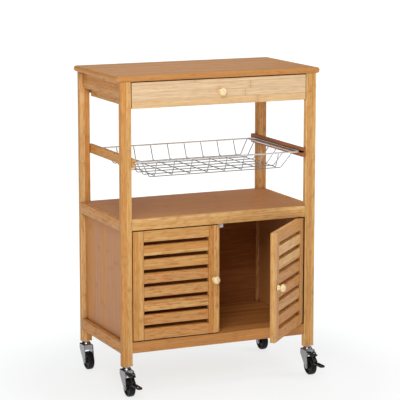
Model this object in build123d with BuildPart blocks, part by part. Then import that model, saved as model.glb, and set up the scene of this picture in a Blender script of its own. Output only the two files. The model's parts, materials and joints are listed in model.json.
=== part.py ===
"""Rolling bamboo kitchen cart: worktop, drawer, sliding wire basket, open shelf and a two-door cabinet.

Millimetres, +Z up, floor at Z = 0. The front faces -Y and X runs from left to right.
The right-hand door stands open, so the middle of the cart lies behind the origin by CART_SHIFT.
"""

import os
from math import cos, radians, sin

from build123d import *

os.makedirs("parts", exist_ok=True)

# ---------------------------------------------------------------- driving dimensions
WIDTH = 566.0  # over the legs, left to right
DEPTH = 316.0  # over the legs, front to back
HEIGHT = 845.0  # floor to the top of the worktop
CART_SHIFT = 84.6  # how far the middle of the cart stands behind the origin

TOP_THICKNESS = 15.0
TOP_OVERHANG_SIDE = 11.0
TOP_OVERHANG_FRONT = 4.0
TOP_CORNER = 10.0
TOP_ROUNDING = 6.0

LEG_WIDTH = 30.0
LEG_DEPTH = 15.0
LEG_FOOT = 78.0  # height of the leg's lower end above the floor
LEG_ROUNDING = 2.0

STOCK = 15.0  # thickness of the rails
RAIL_HEIGHT = 30.0
SHELF_LEVEL = 470.0  # top of the middle shelf
FLOOR_LEVEL = 142.0  # top of the cabinet floor
PANEL_THICKNESS = 10.0
TONGUE = 5.0  # width and depth of the tongues that hold the shelf and the floor
SMALL_ROUNDING = 1.5

APRON_THICKNESS = 12.0
APRON_HEIGHT = 45.0
APRON_RECESS = 12.0  # the side aprons stand back from the legs' outer faces
BACK_APRON_HEIGHT = 60.0

SIDE_PANEL_THICKNESS = 6.0
BACK_PANEL_THICKNESS = 5.0
PANEL_TONGUE = 4.0

DRAWER_BOTTOM = 760.0
DRAWER_TOP_GAP = 2.0
DRAWER_SIDE_GAP = 1.5
DRAWER_LENGTH = 284.0
DRAWER_STOCK = 12.0
DRAWER_SIDE_OUTER = 250.0  # outer face of a drawer side, from the middle of the cart
DRAWER_SIDE_HEIGHT = 58.0
DRAWER_SIDE_LIFT = 2.0
DRAWER_PLY = 4.0
PLY_LIFT = 6.0  # from the lower edge of a drawer side to the bottom
PLY_BITE = 5.0  # how far the bottom reaches into its grooves
RUNNER_HEIGHT = 10.0
RUNNER_LEVEL = 804.0
RUNNER_BITE = 4.0  # how far a runner reaches into its groove
RUNNER_PLAY = 0.4

KNOB_DIAMETER = 21.0
KNOB_LENGTH = 22.0
KNOB_TENON = 4.0  # radius
KNOB_TENON_LENGTH = 10.0
KNOB_FOOT = 7.0  # radius
KNOB_FOOT_HEIGHT = 1.5
KNOB_NECK = 5.0  # radius
KNOB_NECK_HEIGHT = 7.0
KNOB_CROWN = 7.5  # from the widest part of the head to its top

BASKET_LEVEL = 618.0  # height of the rim's centre line
BASKET_DROP = 40.0
BASKET_RAIL_HEIGHT = 24.0
BASKET_RAIL_THICKNESS = 12.0
BASKET_RAIL_BELOW = 13.0  # from the rim's centre line to the rail's lower edge
GROOVE_HEIGHT = 6.0
GROOVE_DEPTH = 7.0
GROOVE_STOP = 10.0  # solid wood left at the back end of the groove
RIM_WIRE = 2.0  # radius
BAR_WIRE = 1.75
THIN_WIRE = 1.2
RIM_HALF_WIDTH = 244.5
RIM_FRONT_GAP = 12.0
RIM_BACK_GAP = 18.0
RIM_CORNER = 10.0
BAR_HALF_WIDTH = 219.0
BASKET_FLOOR_HALF_WIDTH = 192.0
BASKET_SLOPE = 17.0  # how far the front and back walls lean in
CROSS_WIRES = 8
CROSS_PITCH = 50.6
LONG_WIRES = 7
WIRE_BEND = 6.0

DOOR_WIDTH = 249.0
DOOR_THICKNESS = 15.0
DOOR_GAP_SIDE = 2.0
DOOR_GAP_ENDS = 2.5
STILE_WIDTH = 31.0
STILE_ROUNDING = 4.0
DOOR_RAIL_HEIGHT = 29.5
SLATS = 6
SLOT_HEIGHT = 10.3
SLAT_THICKNESS = 12.0
SLAT_RECESS = 1.5
SLAT_ROUNDING = 1.0
TENON = 6.0
TENON_HALF = 3.0  # half of a tenon's thickness
TENON_SHOULDER = 3.0
RIGHT_DOOR_OPEN = 45.5  # degrees, as the cart stands
PIN_RADIUS = 2.0
PIN_PLAY = 0.05
PIN_DEPTH = 10.0
COLLAR_RADIUS = 4.5
CATCH_HALF_WIDTH = 15.0
CATCH_DEPTH = 16.0
CATCH_DROP = 13.0  # below the shelf rail
CATCH_PLATE = 4.0  # thickness of the plate behind the shelf rail
CATCH_LAP = 2.0  # how far the plate and the catch overlap the rail's lower edge
CATCH_WEB = 2.0  # half of the web's thickness
CATCH_NOSE = 3.0  # from the catch's front to its web
BODY_GAP = 0.3  # least distance between pieces that move apart

WHEEL_RADIUS = 25.0
WHEEL_WIDTH = 16.0
WHEEL_ROUNDING = 3.5
WEB_RADIUS = 18.0
WEB_DEPTH = 2.5  # below the wheel's side faces
HUB_RADIUS = 7.0
TRAIL = 17.0  # axle ahead of the swivel axis
CASTER_HEADING = 2.0  # degrees, from straight forward towards +X
FORK_HALF_WIDTH = 13.5
FORK_WALL = 2.0
FORK_TOP = 70.0
FORK_LIP = 55.0
FORK_BACK = -16.0
FORK_FRONT = 17.0
FORK_EYE = 7.5
FORK_ROUNDING = 4.0
KING_PIN = 4.0
KING_PIN_PLAY = 0.08
KING_HEAD = 6.5  # radius of the king pin's head
KING_HEAD_HEIGHT = 3.0
RACE_RADII = (13.0, 11.0)  # at the foot and at the top of the bearing race
RACE_HEIGHT = 3.6
STEM_RADIUS = 7.5
STEM_DEPTH = 30.0
SWIVEL_GAP = 0.4
AXLE_RADIUS = 2.5
AXLE_PLAY = 0.06
AXLE_HEAD = 4.5  # radius
AXLE_HEAD_HEIGHT = 1.2
BRAKED = ("front_left", "front_right")
BRAKE_PIVOT = (21.5, 58.0)  # ahead of the swivel axis and above the floor
BRAKE_PIN = 2.0
BRAKE_EYE = 4.5
BRAKE_EAR_INSET = 6.0  # from the fork's front to the root of its ear
LEVER_ROOT = 3.6  # ahead of the pivot
LEVER_HALF_WIDTH = 4.5
TAB_TIP = ((47.0, 63.0), (49.0, 59.0))  # ahead of the swivel axis and above the floor
ELBOW = ((38.0, 54.0), (33.0, 51.5))  # front and rear of the arm where it turns down
KNEE = ((49.0, 43.5), (45.0, 38.5))  # front and rear of the arm where the pedal begins
PEDAL_ROOT = 47.0
PEDAL_TIP = 88.0
PEDAL_LEVELS = (39.5, 35.5)
PEDAL_HALF_WIDTH = 7.5
PEDAL_ROUNDING = 6.0
PEDAL_SLOT = (60.0, 82.0)
PEDAL_SLOT_HALF_WIDTH = 3.5

BOLT_RADIUS = 2.5
BOLT_HEAD = 4.5
BOLT_HEAD_HEIGHT = 4.0
BOLT_SINK = 0.5  # below the leg's face
BOLT_SOCKET = 2.0
BOLT_SOCKET_DEPTH = 2.5
BOLT_REACH = 25.0  # into the rail's end
BACK_BOLT_DROP = 25.0  # below the worktop
DOWEL_RADIUS = 3.0
DOWEL_IN_LEG = 10.0
DOWEL_IN_RAIL = 20.0
DOWEL_FROM_OUTSIDE = 5.5
RAIL_DOWEL_INSET = 6.0
APRON_DOWEL_INSETS = (8.0, 12.0)  # from the apron's lower edge and from the worktop
SCREW_LENGTH = 20.0
SCREW_RADIUS = 1.75
SCREW_HEAD = 2.8
SCREW_HEAD_HEIGHT = 1.8
TOP_SCREW_LENGTH = 35.0
TOP_SCREW_BITE = 10.0
COUNTERBORE = 4.0
PLUG_PLAY = 0.2
PLUG_HEIGHT = 3.0
SIDE_SCREW_STEP = 90.0
BACK_SCREW_STEP = 150.0
RUNNER_SCREW_STEP = 110.0

# ---------------------------------------------------------------- derived places
FRONT = CART_SHIFT - DEPTH / 2
BACK = CART_SHIFT + DEPTH / 2
RIGHT = WIDTH / 2
UNDERSIDE = HEIGHT - TOP_THICKNESS
INNER = WIDTH / 2 - LEG_WIDTH  # inner face of a leg, from the middle of the cart
LEG_MIDDLE = WIDTH / 2 - LEG_WIDTH / 2
FRONT_LEG_Y = FRONT + LEG_DEPTH / 2
BACK_LEG_Y = BACK - LEG_DEPTH / 2
SHELF_RAIL = SHELF_LEVEL - RAIL_HEIGHT
BASE_RAIL = FLOOR_LEVEL - RAIL_HEIGHT
APRON_BOTTOM = UNDERSIDE - APRON_HEIGHT
APRON_MIDDLE = WIDTH / 2 - APRON_RECESS - APRON_THICKNESS / 2
APRON_INNER = WIDTH / 2 - APRON_RECESS - APRON_THICKNESS
SIDES = {"left": -1, "right": 1}
LEG_PLACES = {
    "front_left": (-LEG_MIDDLE, FRONT_LEG_Y),
    "front_right": (LEG_MIDDLE, FRONT_LEG_Y),
    "back_left": (-LEG_MIDDLE, BACK_LEG_Y),
    "back_right": (LEG_MIDDLE, BACK_LEG_Y),
}


def save(builder, name):
    """Label a finished sub-part and write it."""
    builder.part.label = name
    export_step(builder.part, f"parts/{name}.step")


def block(x_range, y_range, z_range, mode=Mode.ADD):
    """A box between two corners, in the sub-part that is open."""
    size = [high - low for low, high in (x_range, y_range, z_range)]
    middle = [(high + low) / 2 for low, high in (x_range, y_range, z_range)]
    with Locations(tuple(middle)):
        return Box(*size, mode=mode)


def rod(start, direction, radius, length, mode=Mode.ADD):
    """A round rod from a point, in the sub-part that is open."""
    with Locations(Plane(origin=start, z_dir=direction)):
        return Cylinder(radius, length, align=(Align.CENTER, Align.CENTER, Align.MIN), mode=mode)


def span(side, near, far):
    """The X range between two distances from the middle, on the left or the right."""
    return (near, far) if side > 0 else (-far, -near)


# ---------------------------------------------------------------- places of the fasteners
# Bolts run along X through a leg into the end of a front or back rail.
BOLT_ROWS = [
    (FRONT_LEG_Y, SHELF_RAIL + RAIL_HEIGHT / 2),
    (BACK_LEG_Y, SHELF_RAIL + RAIL_HEIGHT / 2),
    (FRONT_LEG_Y, BASE_RAIL + RAIL_HEIGHT / 2),
    (BACK_LEG_Y, BASE_RAIL + RAIL_HEIGHT / 2),
    (BACK_LEG_Y, UNDERSIDE - BACK_BOLT_DROP),
]
# Dowels run along Y between a leg and the end of a side rail or a side apron.
RAIL_DOWEL_X = WIDTH / 2 - DOWEL_FROM_OUTSIDE
DOWEL_ROWS = [
    (RAIL_DOWEL_X, SHELF_RAIL + RAIL_DOWEL_INSET),
    (RAIL_DOWEL_X, SHELF_LEVEL - RAIL_DOWEL_INSET),
    (RAIL_DOWEL_X, BASE_RAIL + RAIL_DOWEL_INSET),
    (RAIL_DOWEL_X, FLOOR_LEVEL - RAIL_DOWEL_INSET),
    (APRON_MIDDLE, APRON_BOTTOM + APRON_DOWEL_INSETS[0]),
    (APRON_MIDDLE, UNDERSIDE - APRON_DOWEL_INSETS[1]),
]
# Screws up into the worktop: (x, y, underside of the apron).
BACK_APRON_BOTTOM = UNDERSIDE - BACK_APRON_HEIGHT
TOP_SCREWS = [
    (side * APRON_MIDDLE, CART_SHIFT + step, APRON_BOTTOM)
    for side in SIDES.values()
    for step in (-SIDE_SCREW_STEP, SIDE_SCREW_STEP)
] + [(step, BACK_LEG_Y, BACK_APRON_BOTTOM) for step in (-BACK_SCREW_STEP, 0.0, BACK_SCREW_STEP)]
TOP_SCREW_START = UNDERSIDE + TOP_SCREW_BITE - TOP_SCREW_LENGTH
# Short wood screws, outwards along X: (distance from the middle, y, z).
RAIL_SCREW_ENDS = (FRONT_LEG_Y, BACK_LEG_Y)
RUNNER_SCREW_ENDS = (CART_SHIFT - RUNNER_SCREW_STEP, CART_SHIFT, CART_SHIFT + RUNNER_SCREW_STEP)
BASKET_SCREW_X = INNER - BASKET_RAIL_THICKNESS + GROOVE_DEPTH
RUNNER_INNER = DRAWER_SIDE_OUTER - RUNNER_BITE
SHORT_SCREWS = [(BASKET_SCREW_X, y, BASKET_LEVEL) for y in RAIL_SCREW_ENDS] + [
    (RUNNER_INNER, y, RUNNER_LEVEL) for y in RUNNER_SCREW_ENDS
]


def drill_bolts(side, y):
    """Holes for the bolts of one leg column: shank, and the head's counterbore."""
    for row_y, row_z in BOLT_ROWS:
        if row_y != y:
            continue
        start = (side * WIDTH / 2, row_y, row_z)
        inward = (-side, 0, 0)
        rod(start, inward, BOLT_HEAD, BOLT_HEAD_HEIGHT + BOLT_SINK, Mode.SUBTRACT)
        rod(start, inward, BOLT_RADIUS, LEG_WIDTH + BOLT_REACH, Mode.SUBTRACT)


def drill_dowels(side, y_end):
    """Holes for the dowels that cross one leg's inner Y face."""
    for x, z in DOWEL_ROWS:
        leg_face = FRONT + LEG_DEPTH if y_end < CART_SHIFT else BACK - LEG_DEPTH
        into_rail = 1 if y_end < CART_SHIFT else -1
        start = (side * x, leg_face - into_rail * DOWEL_IN_LEG, z)
        rod(start, (0, into_rail, 0), DOWEL_RADIUS, DOWEL_IN_LEG + DOWEL_IN_RAIL, Mode.SUBTRACT)


def drill_short_screws(side, rows):
    """Holes for short wood screws that run outwards along X."""
    for x, y, z in rows:
        rod((side * x, y, z), (side, 0, 0), SCREW_RADIUS, SCREW_LENGTH, Mode.SUBTRACT)
        rod((side * x, y, z), (side, 0, 0), SCREW_HEAD, SCREW_HEAD_HEIGHT, Mode.SUBTRACT)


# ---------------------------------------------------------------- worktop
with BuildPart() as worktop:
    with BuildSketch(Plane.XY.offset(UNDERSIDE)):
        with Locations((0, CART_SHIFT)):
            RectangleRounded(
                WIDTH + 2 * TOP_OVERHANG_SIDE, DEPTH + 2 * TOP_OVERHANG_FRONT, TOP_CORNER
            )
    extrude(amount=TOP_THICKNESS)
    fillet(worktop.faces().filter_by(Axis.Z).edges(), radius=TOP_ROUNDING)
    for x, y, _ in TOP_SCREWS:
        rod((x, y, UNDERSIDE), (0, 0, 1), SCREW_RADIUS, TOP_SCREW_BITE, Mode.SUBTRACT)
save(worktop, "worktop")

# ---------------------------------------------------------------- legs
for place, (leg_x, leg_y) in LEG_PLACES.items():
    side = 1 if leg_x > 0 else -1
    inward_y = 1 if leg_y < CART_SHIFT else -1
    inner_face = leg_y + inward_y * LEG_DEPTH / 2
    panel_x = span(side, RIGHT - STOCK - SIDE_PANEL_THICKNESS, RIGHT - STOCK)
    with BuildPart() as leg:
        with BuildSketch(Plane.XY.offset(LEG_FOOT)):
            with Locations((leg_x, leg_y)):
                RectangleRounded(LEG_WIDTH, LEG_DEPTH, LEG_ROUNDING)
        extrude(amount=UNDERSIDE - LEG_FOOT)
        rod((leg_x, leg_y, LEG_FOOT), (0, 0, 1), KING_PIN, STEM_DEPTH, Mode.SUBTRACT)
        drill_bolts(side, leg_y)
        drill_dowels(side, leg_y)
        drill_short_screws(side, [row for row in SHORT_SCREWS if row[2] == BASKET_LEVEL])
        groove_y = sorted((inner_face - inward_y * PANEL_TONGUE, inner_face))
        block(panel_x, groove_y, (FLOOR_LEVEL, SHELF_LEVEL - PANEL_THICKNESS), Mode.SUBTRACT)
        if inward_y < 0:
            back_x = span(side, INNER, INNER + PANEL_TONGUE)
            back_y = (BACK_LEG_Y - BACK_PANEL_THICKNESS / 2, BACK_LEG_Y + BACK_PANEL_THICKNESS / 2)
            back_z = (FLOOR_LEVEL - PANEL_TONGUE, SHELF_RAIL + PANEL_TONGUE)
            block(back_x, back_y, back_z, Mode.SUBTRACT)
    save(leg, f"leg_{place}")

# ---------------------------------------------------------------- aprons under the worktop
for name, side in SIDES.items():
    with BuildPart() as apron:
        block(
            span(side, APRON_INNER, APRON_INNER + APRON_THICKNESS),
            (FRONT + LEG_DEPTH, BACK - LEG_DEPTH),
            (APRON_BOTTOM, UNDERSIDE),
        )
        drill_dowels(side, FRONT)
        drill_dowels(side, BACK)
        drill_short_screws(side, [row for row in SHORT_SCREWS if row[2] == RUNNER_LEVEL])
        for x, y, bottom in TOP_SCREWS:
            rod((x, y, bottom), (0, 0, 1), COUNTERBORE, TOP_SCREW_START - bottom, Mode.SUBTRACT)
            rod((x, y, bottom), (0, 0, 1), SCREW_RADIUS, UNDERSIDE - bottom, Mode.SUBTRACT)
    save(apron, f"apron_{name}")

with BuildPart() as apron_back:
    block((-INNER, INNER), (BACK - STOCK, BACK), (BACK_APRON_BOTTOM, UNDERSIDE))
    for side in SIDES.values():
        drill_bolts(side, BACK_LEG_Y)
    for x, y, bottom in TOP_SCREWS:
        rod((x, y, bottom), (0, 0, 1), COUNTERBORE, TOP_SCREW_START - bottom, Mode.SUBTRACT)
        rod((x, y, bottom), (0, 0, 1), SCREW_RADIUS, UNDERSIDE - bottom, Mode.SUBTRACT)
save(apron_back, "apron_back")

# ---------------------------------------------------------------- drawer and its runners
DRAWER_FRONT_X = INNER - DRAWER_SIDE_GAP
DRAWER_BOX_FRONT = FRONT + STOCK
DRAWER_BOX_BACK = DRAWER_BOX_FRONT + DRAWER_LENGTH
DRAWER_SIDE_BOTTOM = DRAWER_BOTTOM + DRAWER_SIDE_LIFT
DRAWER_SIDE_INNER = DRAWER_SIDE_OUTER - DRAWER_STOCK
PLY_BOTTOM = DRAWER_SIDE_BOTTOM + PLY_LIFT
KNOB_Z = (DRAWER_BOTTOM + UNDERSIDE - DRAWER_TOP_GAP) / 2


def knob(name, base, outward):
    """A turned knob with a round head, a narrow neck and a tenon that is glued into its bore."""
    widest = (KNOB_DIAMETER / 2, KNOB_CROWN - KNOB_LENGTH)
    foot_edge = (KNOB_FOOT, -KNOB_FOOT_HEIGHT)
    neck = (KNOB_NECK, -KNOB_NECK_HEIGHT)
    profile_plane = Plane(origin=base, x_dir=(0, 0, 1), z_dir=Vector(outward).cross(Vector(0, 0, 1)))
    with BuildPart() as turned:
        with BuildSketch(profile_plane):
            with BuildLine():
                Polyline(
                    (0, KNOB_TENON_LENGTH),
                    (KNOB_TENON, KNOB_TENON_LENGTH),
                    (KNOB_TENON, 0),
                    (KNOB_FOOT, 0),
                    foot_edge,
                )
                Spline(foot_edge, neck, widest, tangents=((-0.4, -1), (0.9, -1)))
                Spline(widest, (0, -KNOB_LENGTH), tangents=((0, -1), (-1, 0)))
                Line((0, -KNOB_LENGTH), (0, KNOB_TENON_LENGTH))
            make_face()
        revolve(axis=Axis(base, outward))
    save(turned, name)


for name, side in SIDES.items():
    with BuildPart() as runner:
        block(
            span(side, RUNNER_INNER, APRON_INNER),
            (FRONT + LEG_DEPTH, BACK - LEG_DEPTH),
            (RUNNER_LEVEL - RUNNER_HEIGHT / 2, RUNNER_LEVEL + RUNNER_HEIGHT / 2),
        )
        drill_short_screws(side, [row for row in SHORT_SCREWS if row[2] == RUNNER_LEVEL])
    save(runner, f"drawer_runner_{name}")

with BuildPart() as drawer_front:
    block(
        (-DRAWER_FRONT_X, DRAWER_FRONT_X),
        (FRONT, DRAWER_BOX_FRONT),
        (DRAWER_BOTTOM, UNDERSIDE - DRAWER_TOP_GAP),
    )
    fillet(drawer_front.faces().sort_by(Axis.Y)[0].edges(), radius=SMALL_ROUNDING)
    rod((0, FRONT, KNOB_Z), (0, 1, 0), KNOB_TENON, KNOB_TENON_LENGTH, Mode.SUBTRACT)
    block(
        (-DRAWER_SIDE_INNER, DRAWER_SIDE_INNER),
        (DRAWER_BOX_FRONT - PLY_BITE, DRAWER_BOX_FRONT),
        (PLY_BOTTOM, PLY_BOTTOM + DRAWER_PLY),
        Mode.SUBTRACT,
    )
save(drawer_front, "drawer_front")

for name, side in SIDES.items():
    with BuildPart() as drawer_side:
        block(
            span(side, DRAWER_SIDE_INNER, DRAWER_SIDE_OUTER),
            (DRAWER_BOX_FRONT, DRAWER_BOX_BACK),
            (DRAWER_SIDE_BOTTOM, DRAWER_SIDE_BOTTOM + DRAWER_SIDE_HEIGHT),
        )
        half = RUNNER_HEIGHT / 2 + RUNNER_PLAY
        block(
            span(side, RUNNER_INNER - RUNNER_PLAY, DRAWER_SIDE_OUTER),
            (DRAWER_BOX_FRONT, DRAWER_BOX_BACK),
            (RUNNER_LEVEL - half, RUNNER_LEVEL + half),
            Mode.SUBTRACT,
        )
        block(
            span(side, DRAWER_SIDE_INNER, DRAWER_SIDE_INNER + PLY_BITE),
            (DRAWER_BOX_FRONT, DRAWER_BOX_BACK),
            (PLY_BOTTOM, PLY_BOTTOM + DRAWER_PLY),
            Mode.SUBTRACT,
        )
    save(drawer_side, f"drawer_side_{name}")

with BuildPart() as drawer_back:
    block(
        (-DRAWER_SIDE_INNER, DRAWER_SIDE_INNER),
        (DRAWER_BOX_BACK - DRAWER_STOCK, DRAWER_BOX_BACK),
        (PLY_BOTTOM + DRAWER_PLY, DRAWER_SIDE_BOTTOM + DRAWER_SIDE_HEIGHT),
    )
save(drawer_back, "drawer_back")

with BuildPart() as drawer_bottom:
    ply_z = (PLY_BOTTOM, PLY_BOTTOM + DRAWER_PLY)
    block((-DRAWER_SIDE_INNER, DRAWER_SIDE_INNER), (DRAWER_BOX_FRONT - PLY_BITE, DRAWER_BOX_FRONT), ply_z)
    ply_half = DRAWER_SIDE_INNER + PLY_BITE
    block((-ply_half, ply_half), (DRAWER_BOX_FRONT, DRAWER_BOX_BACK), ply_z)
save(drawer_bottom, "drawer_bottom")

knob("drawer_knob", (0, FRONT, KNOB_Z), (0, -1, 0))

# ---------------------------------------------------------------- basket rails
RAIL_INNER = INNER - BASKET_RAIL_THICKNESS
BASKET_RAIL_BOTTOM = BASKET_LEVEL - BASKET_RAIL_BELOW
GROOVE_BOTTOM = BASKET_LEVEL - RIM_WIRE - BODY_GAP

for name, side in SIDES.items():
    with BuildPart() as basket_rail:
        block(
            span(side, RAIL_INNER, INNER),
            (FRONT, BACK),
            (BASKET_RAIL_BOTTOM, BASKET_RAIL_BOTTOM + BASKET_RAIL_HEIGHT),
        )
        fillet(basket_rail.edges().filter_by(Axis.Y), radius=SMALL_ROUNDING)
        block(
            span(side, RAIL_INNER, RAIL_INNER + GROOVE_DEPTH),
            (FRONT, BACK - GROOVE_STOP),
            (GROOVE_BOTTOM, GROOVE_BOTTOM + GROOVE_HEIGHT),
            Mode.SUBTRACT,
        )
        drill_short_screws(side, [row for row in SHORT_SCREWS if row[2] == BASKET_LEVEL])
    save(basket_rail, f"basket_rail_{name}")

# ---------------------------------------------------------------- wire basket
RIM_FRONT = FRONT + RIM_FRONT_GAP
RIM_BACK = BACK - RIM_BACK_GAP
CROSS_FLOOR = BASKET_LEVEL - BASKET_DROP
LONG_FLOOR = CROSS_FLOOR - 2 * THIN_WIRE
BASKET_FLOOR_FRONT = RIM_FRONT + BASKET_SLOPE
BASKET_FLOOR_BACK = RIM_BACK - BASKET_SLOPE

with BuildPart() as basket_rim:
    with BuildLine() as rim_path:
        FilletPolyline(
            (-RIM_HALF_WIDTH, RIM_FRONT, BASKET_LEVEL),
            (RIM_HALF_WIDTH, RIM_FRONT, BASKET_LEVEL),
            (RIM_HALF_WIDTH, RIM_BACK, BASKET_LEVEL),
            (-RIM_HALF_WIDTH, RIM_BACK, BASKET_LEVEL),
            radius=RIM_CORNER,
            close=True,
        )
    with BuildSketch(Plane(origin=rim_path.line @ 0, z_dir=rim_path.line % 0)):
        Circle(RIM_WIRE)
    sweep()
    for side in SIDES.values():
        rod(
            (side * BAR_HALF_WIDTH, RIM_FRONT, BASKET_LEVEL),
            (0, 1, 0),
            BAR_WIRE,
            RIM_BACK - RIM_FRONT,
        )
save(basket_rim, "basket_rim")


def bent_wire(points, radius):
    """A thin wire along straight stretches with rounded bends, in a sub-part of its own."""
    with BuildPart() as wire:
        with BuildLine() as path:
            FilletPolyline(*points, radius=WIRE_BEND)
        with BuildSketch(Plane(origin=path.line @ 0, z_dir=path.line % 0)):
            Circle(radius)
        sweep()
    return wire.part


cross_offsets = [(i - (CROSS_WIRES - 1) / 2) * CROSS_PITCH for i in range(CROSS_WIRES)]
cross_wires = [
    bent_wire(
        (
            (x, RIM_FRONT, BASKET_LEVEL - RIM_WIRE),
            (x, BASKET_FLOOR_FRONT, CROSS_FLOOR),
            (x, BASKET_FLOOR_BACK, CROSS_FLOOR),
            (x, RIM_BACK, BASKET_LEVEL - RIM_WIRE),
        ),
        THIN_WIRE,
    )
    for x in cross_offsets
]
with BuildPart() as basket_cross_wires:
    add(cross_wires)
save(basket_cross_wires, "basket_cross_wires")

long_wires = []
for i in range(LONG_WIRES):
    part_way = i / (LONG_WIRES - 1)
    low_y = BASKET_FLOOR_FRONT + part_way * (BASKET_FLOOR_BACK - BASKET_FLOOR_FRONT)
    high_y = RIM_FRONT + RIM_WIRE + part_way * (RIM_BACK - RIM_FRONT - 2 * RIM_WIRE)
    high_z = BASKET_LEVEL - BAR_WIRE
    long_wires.append(
        bent_wire(
            (
                (-BAR_HALF_WIDTH, high_y, high_z),
                (-BASKET_FLOOR_HALF_WIDTH, low_y, LONG_FLOOR),
                (BASKET_FLOOR_HALF_WIDTH, low_y, LONG_FLOOR),
                (BAR_HALF_WIDTH, high_y, high_z),
            ),
            THIN_WIRE,
        )
    )
with BuildPart() as basket_long_wires:
    add(long_wires)
save(basket_long_wires, "basket_long_wires")

# ---------------------------------------------------------------- shelf, cabinet floor and their rails
LEVELS = {"shelf": (SHELF_LEVEL, SHELF_RAIL), "base": (FLOOR_LEVEL, BASE_RAIL)}
PANEL_NAMES = {"shelf": "shelf_panel", "base": "cabinet_floor"}
BACK_PANEL_Y = (BACK_LEG_Y - BACK_PANEL_THICKNESS / 2, BACK_LEG_Y + BACK_PANEL_THICKNESS / 2)
BACK_PANEL_Z = (FLOOR_LEVEL - PANEL_TONGUE, SHELF_RAIL + PANEL_TONGUE)
SIDE_INNER = RIGHT - STOCK


def tongue_z(level):
    """The height range of the tongue round a panel whose top is at this level."""
    middle = level - PANEL_THICKNESS / 2
    return (middle - TONGUE / 2, middle + TONGUE / 2)


DOOR_PIVOT_X = INNER - DOOR_GAP_SIDE - DOOR_THICKNESS / 2
DOOR_PIVOT_Y = FRONT + DOOR_THICKNESS / 2

for level_name, (level, rail_bottom) in LEVELS.items():
    rail_z = (rail_bottom, level)
    tongue = tongue_z(level)
    with BuildPart() as panel:
        block(
            (-SIDE_INNER, SIDE_INNER),
            (FRONT + STOCK, BACK - STOCK),
            (level - PANEL_THICKNESS, level),
        )
        block((-INNER, INNER), (FRONT + STOCK - TONGUE, BACK - STOCK + TONGUE), tongue)
        block((-SIDE_INNER - TONGUE, SIDE_INNER + TONGUE), (FRONT + STOCK, BACK - STOCK), tongue)
    save(panel, PANEL_NAMES[level_name])

    with BuildPart() as front_rail:
        block((-INNER, INNER), (FRONT, FRONT + STOCK), rail_z)
        fillet(front_rail.edges().filter_by(Axis.X), radius=SMALL_ROUNDING)
        block((-INNER, INNER), (FRONT + STOCK - TONGUE, FRONT + STOCK), tongue, Mode.SUBTRACT)
        for side in SIDES.values():
            drill_bolts(side, FRONT_LEG_Y)
            hole_z = level - PIN_DEPTH if level_name == "base" else rail_bottom
            hole = (side * DOOR_PIVOT_X, DOOR_PIVOT_Y, hole_z)
            rod(hole, (0, 0, 1), PIN_RADIUS, PIN_DEPTH, Mode.SUBTRACT)
    save(front_rail, f"{level_name}_rail_front")

    with BuildPart() as back_rail:
        block((-INNER, INNER), (BACK - STOCK, BACK), rail_z)
        fillet(back_rail.edges().filter_by(Axis.X), radius=SMALL_ROUNDING)
        block((-INNER, INNER), (BACK - STOCK, BACK - STOCK + TONGUE), tongue, Mode.SUBTRACT)
        block((-INNER, INNER), BACK_PANEL_Y, BACK_PANEL_Z, Mode.SUBTRACT)
        for side in SIDES.values():
            drill_bolts(side, BACK_LEG_Y)
    save(back_rail, f"{level_name}_rail_back")

    for name, side in SIDES.items():
        with BuildPart() as side_rail:
            block(span(side, SIDE_INNER, RIGHT), (FRONT + LEG_DEPTH, BACK - LEG_DEPTH), rail_z)
            fillet(side_rail.edges().filter_by(Axis.Y), radius=SMALL_ROUNDING)
            block(
                span(side, SIDE_INNER, SIDE_INNER + TONGUE),
                (FRONT + LEG_DEPTH, BACK - LEG_DEPTH),
                tongue,
                Mode.SUBTRACT,
            )
            drill_dowels(side, FRONT)
            drill_dowels(side, BACK)
        save(side_rail, f"{level_name}_rail_{name}")

# ---------------------------------------------------------------- cabinet panels
for name, side in SIDES.items():
    with BuildPart() as side_panel:
        block(
            span(side, SIDE_INNER - SIDE_PANEL_THICKNESS, SIDE_INNER),
            (FRONT + LEG_DEPTH - PANEL_TONGUE, BACK - LEG_DEPTH + PANEL_TONGUE),
            (FLOOR_LEVEL, SHELF_LEVEL - PANEL_THICKNESS),
        )
    save(side_panel, f"side_panel_{name}")

with BuildPart() as back_panel:
    block((-INNER - PANEL_TONGUE, INNER + PANEL_TONGUE), BACK_PANEL_Y, (FLOOR_LEVEL, SHELF_RAIL))
    block((-INNER, INNER), BACK_PANEL_Y, BACK_PANEL_Z)
save(back_panel, "back_panel")

# ---------------------------------------------------------------- doors
DOOR_BOTTOM = FLOOR_LEVEL + DOOR_GAP_ENDS
DOOR_TOP = SHELF_RAIL - DOOR_GAP_ENDS
DOOR_HEIGHT = DOOR_TOP - DOOR_BOTTOM
HINGE_EDGE = -DOOR_THICKNESS / 2  # along the door, from the pivot
FREE_EDGE = HINGE_EDGE + DOOR_WIDTH
FIELD = (HINGE_EDGE + STILE_WIDTH, FREE_EDGE - STILE_WIDTH)
FIELD_HEIGHT = DOOR_HEIGHT - 2 * DOOR_RAIL_HEIGHT
SLAT_HEIGHT = (FIELD_HEIGHT - (SLATS + 1) * SLOT_HEIGHT) / SLATS
KNOB_DOOR_X = FREE_EDGE - STILE_WIDTH / 2
KNOB_DOOR_Z = (DOOR_BOTTOM + DOOR_TOP) / 2


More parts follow.
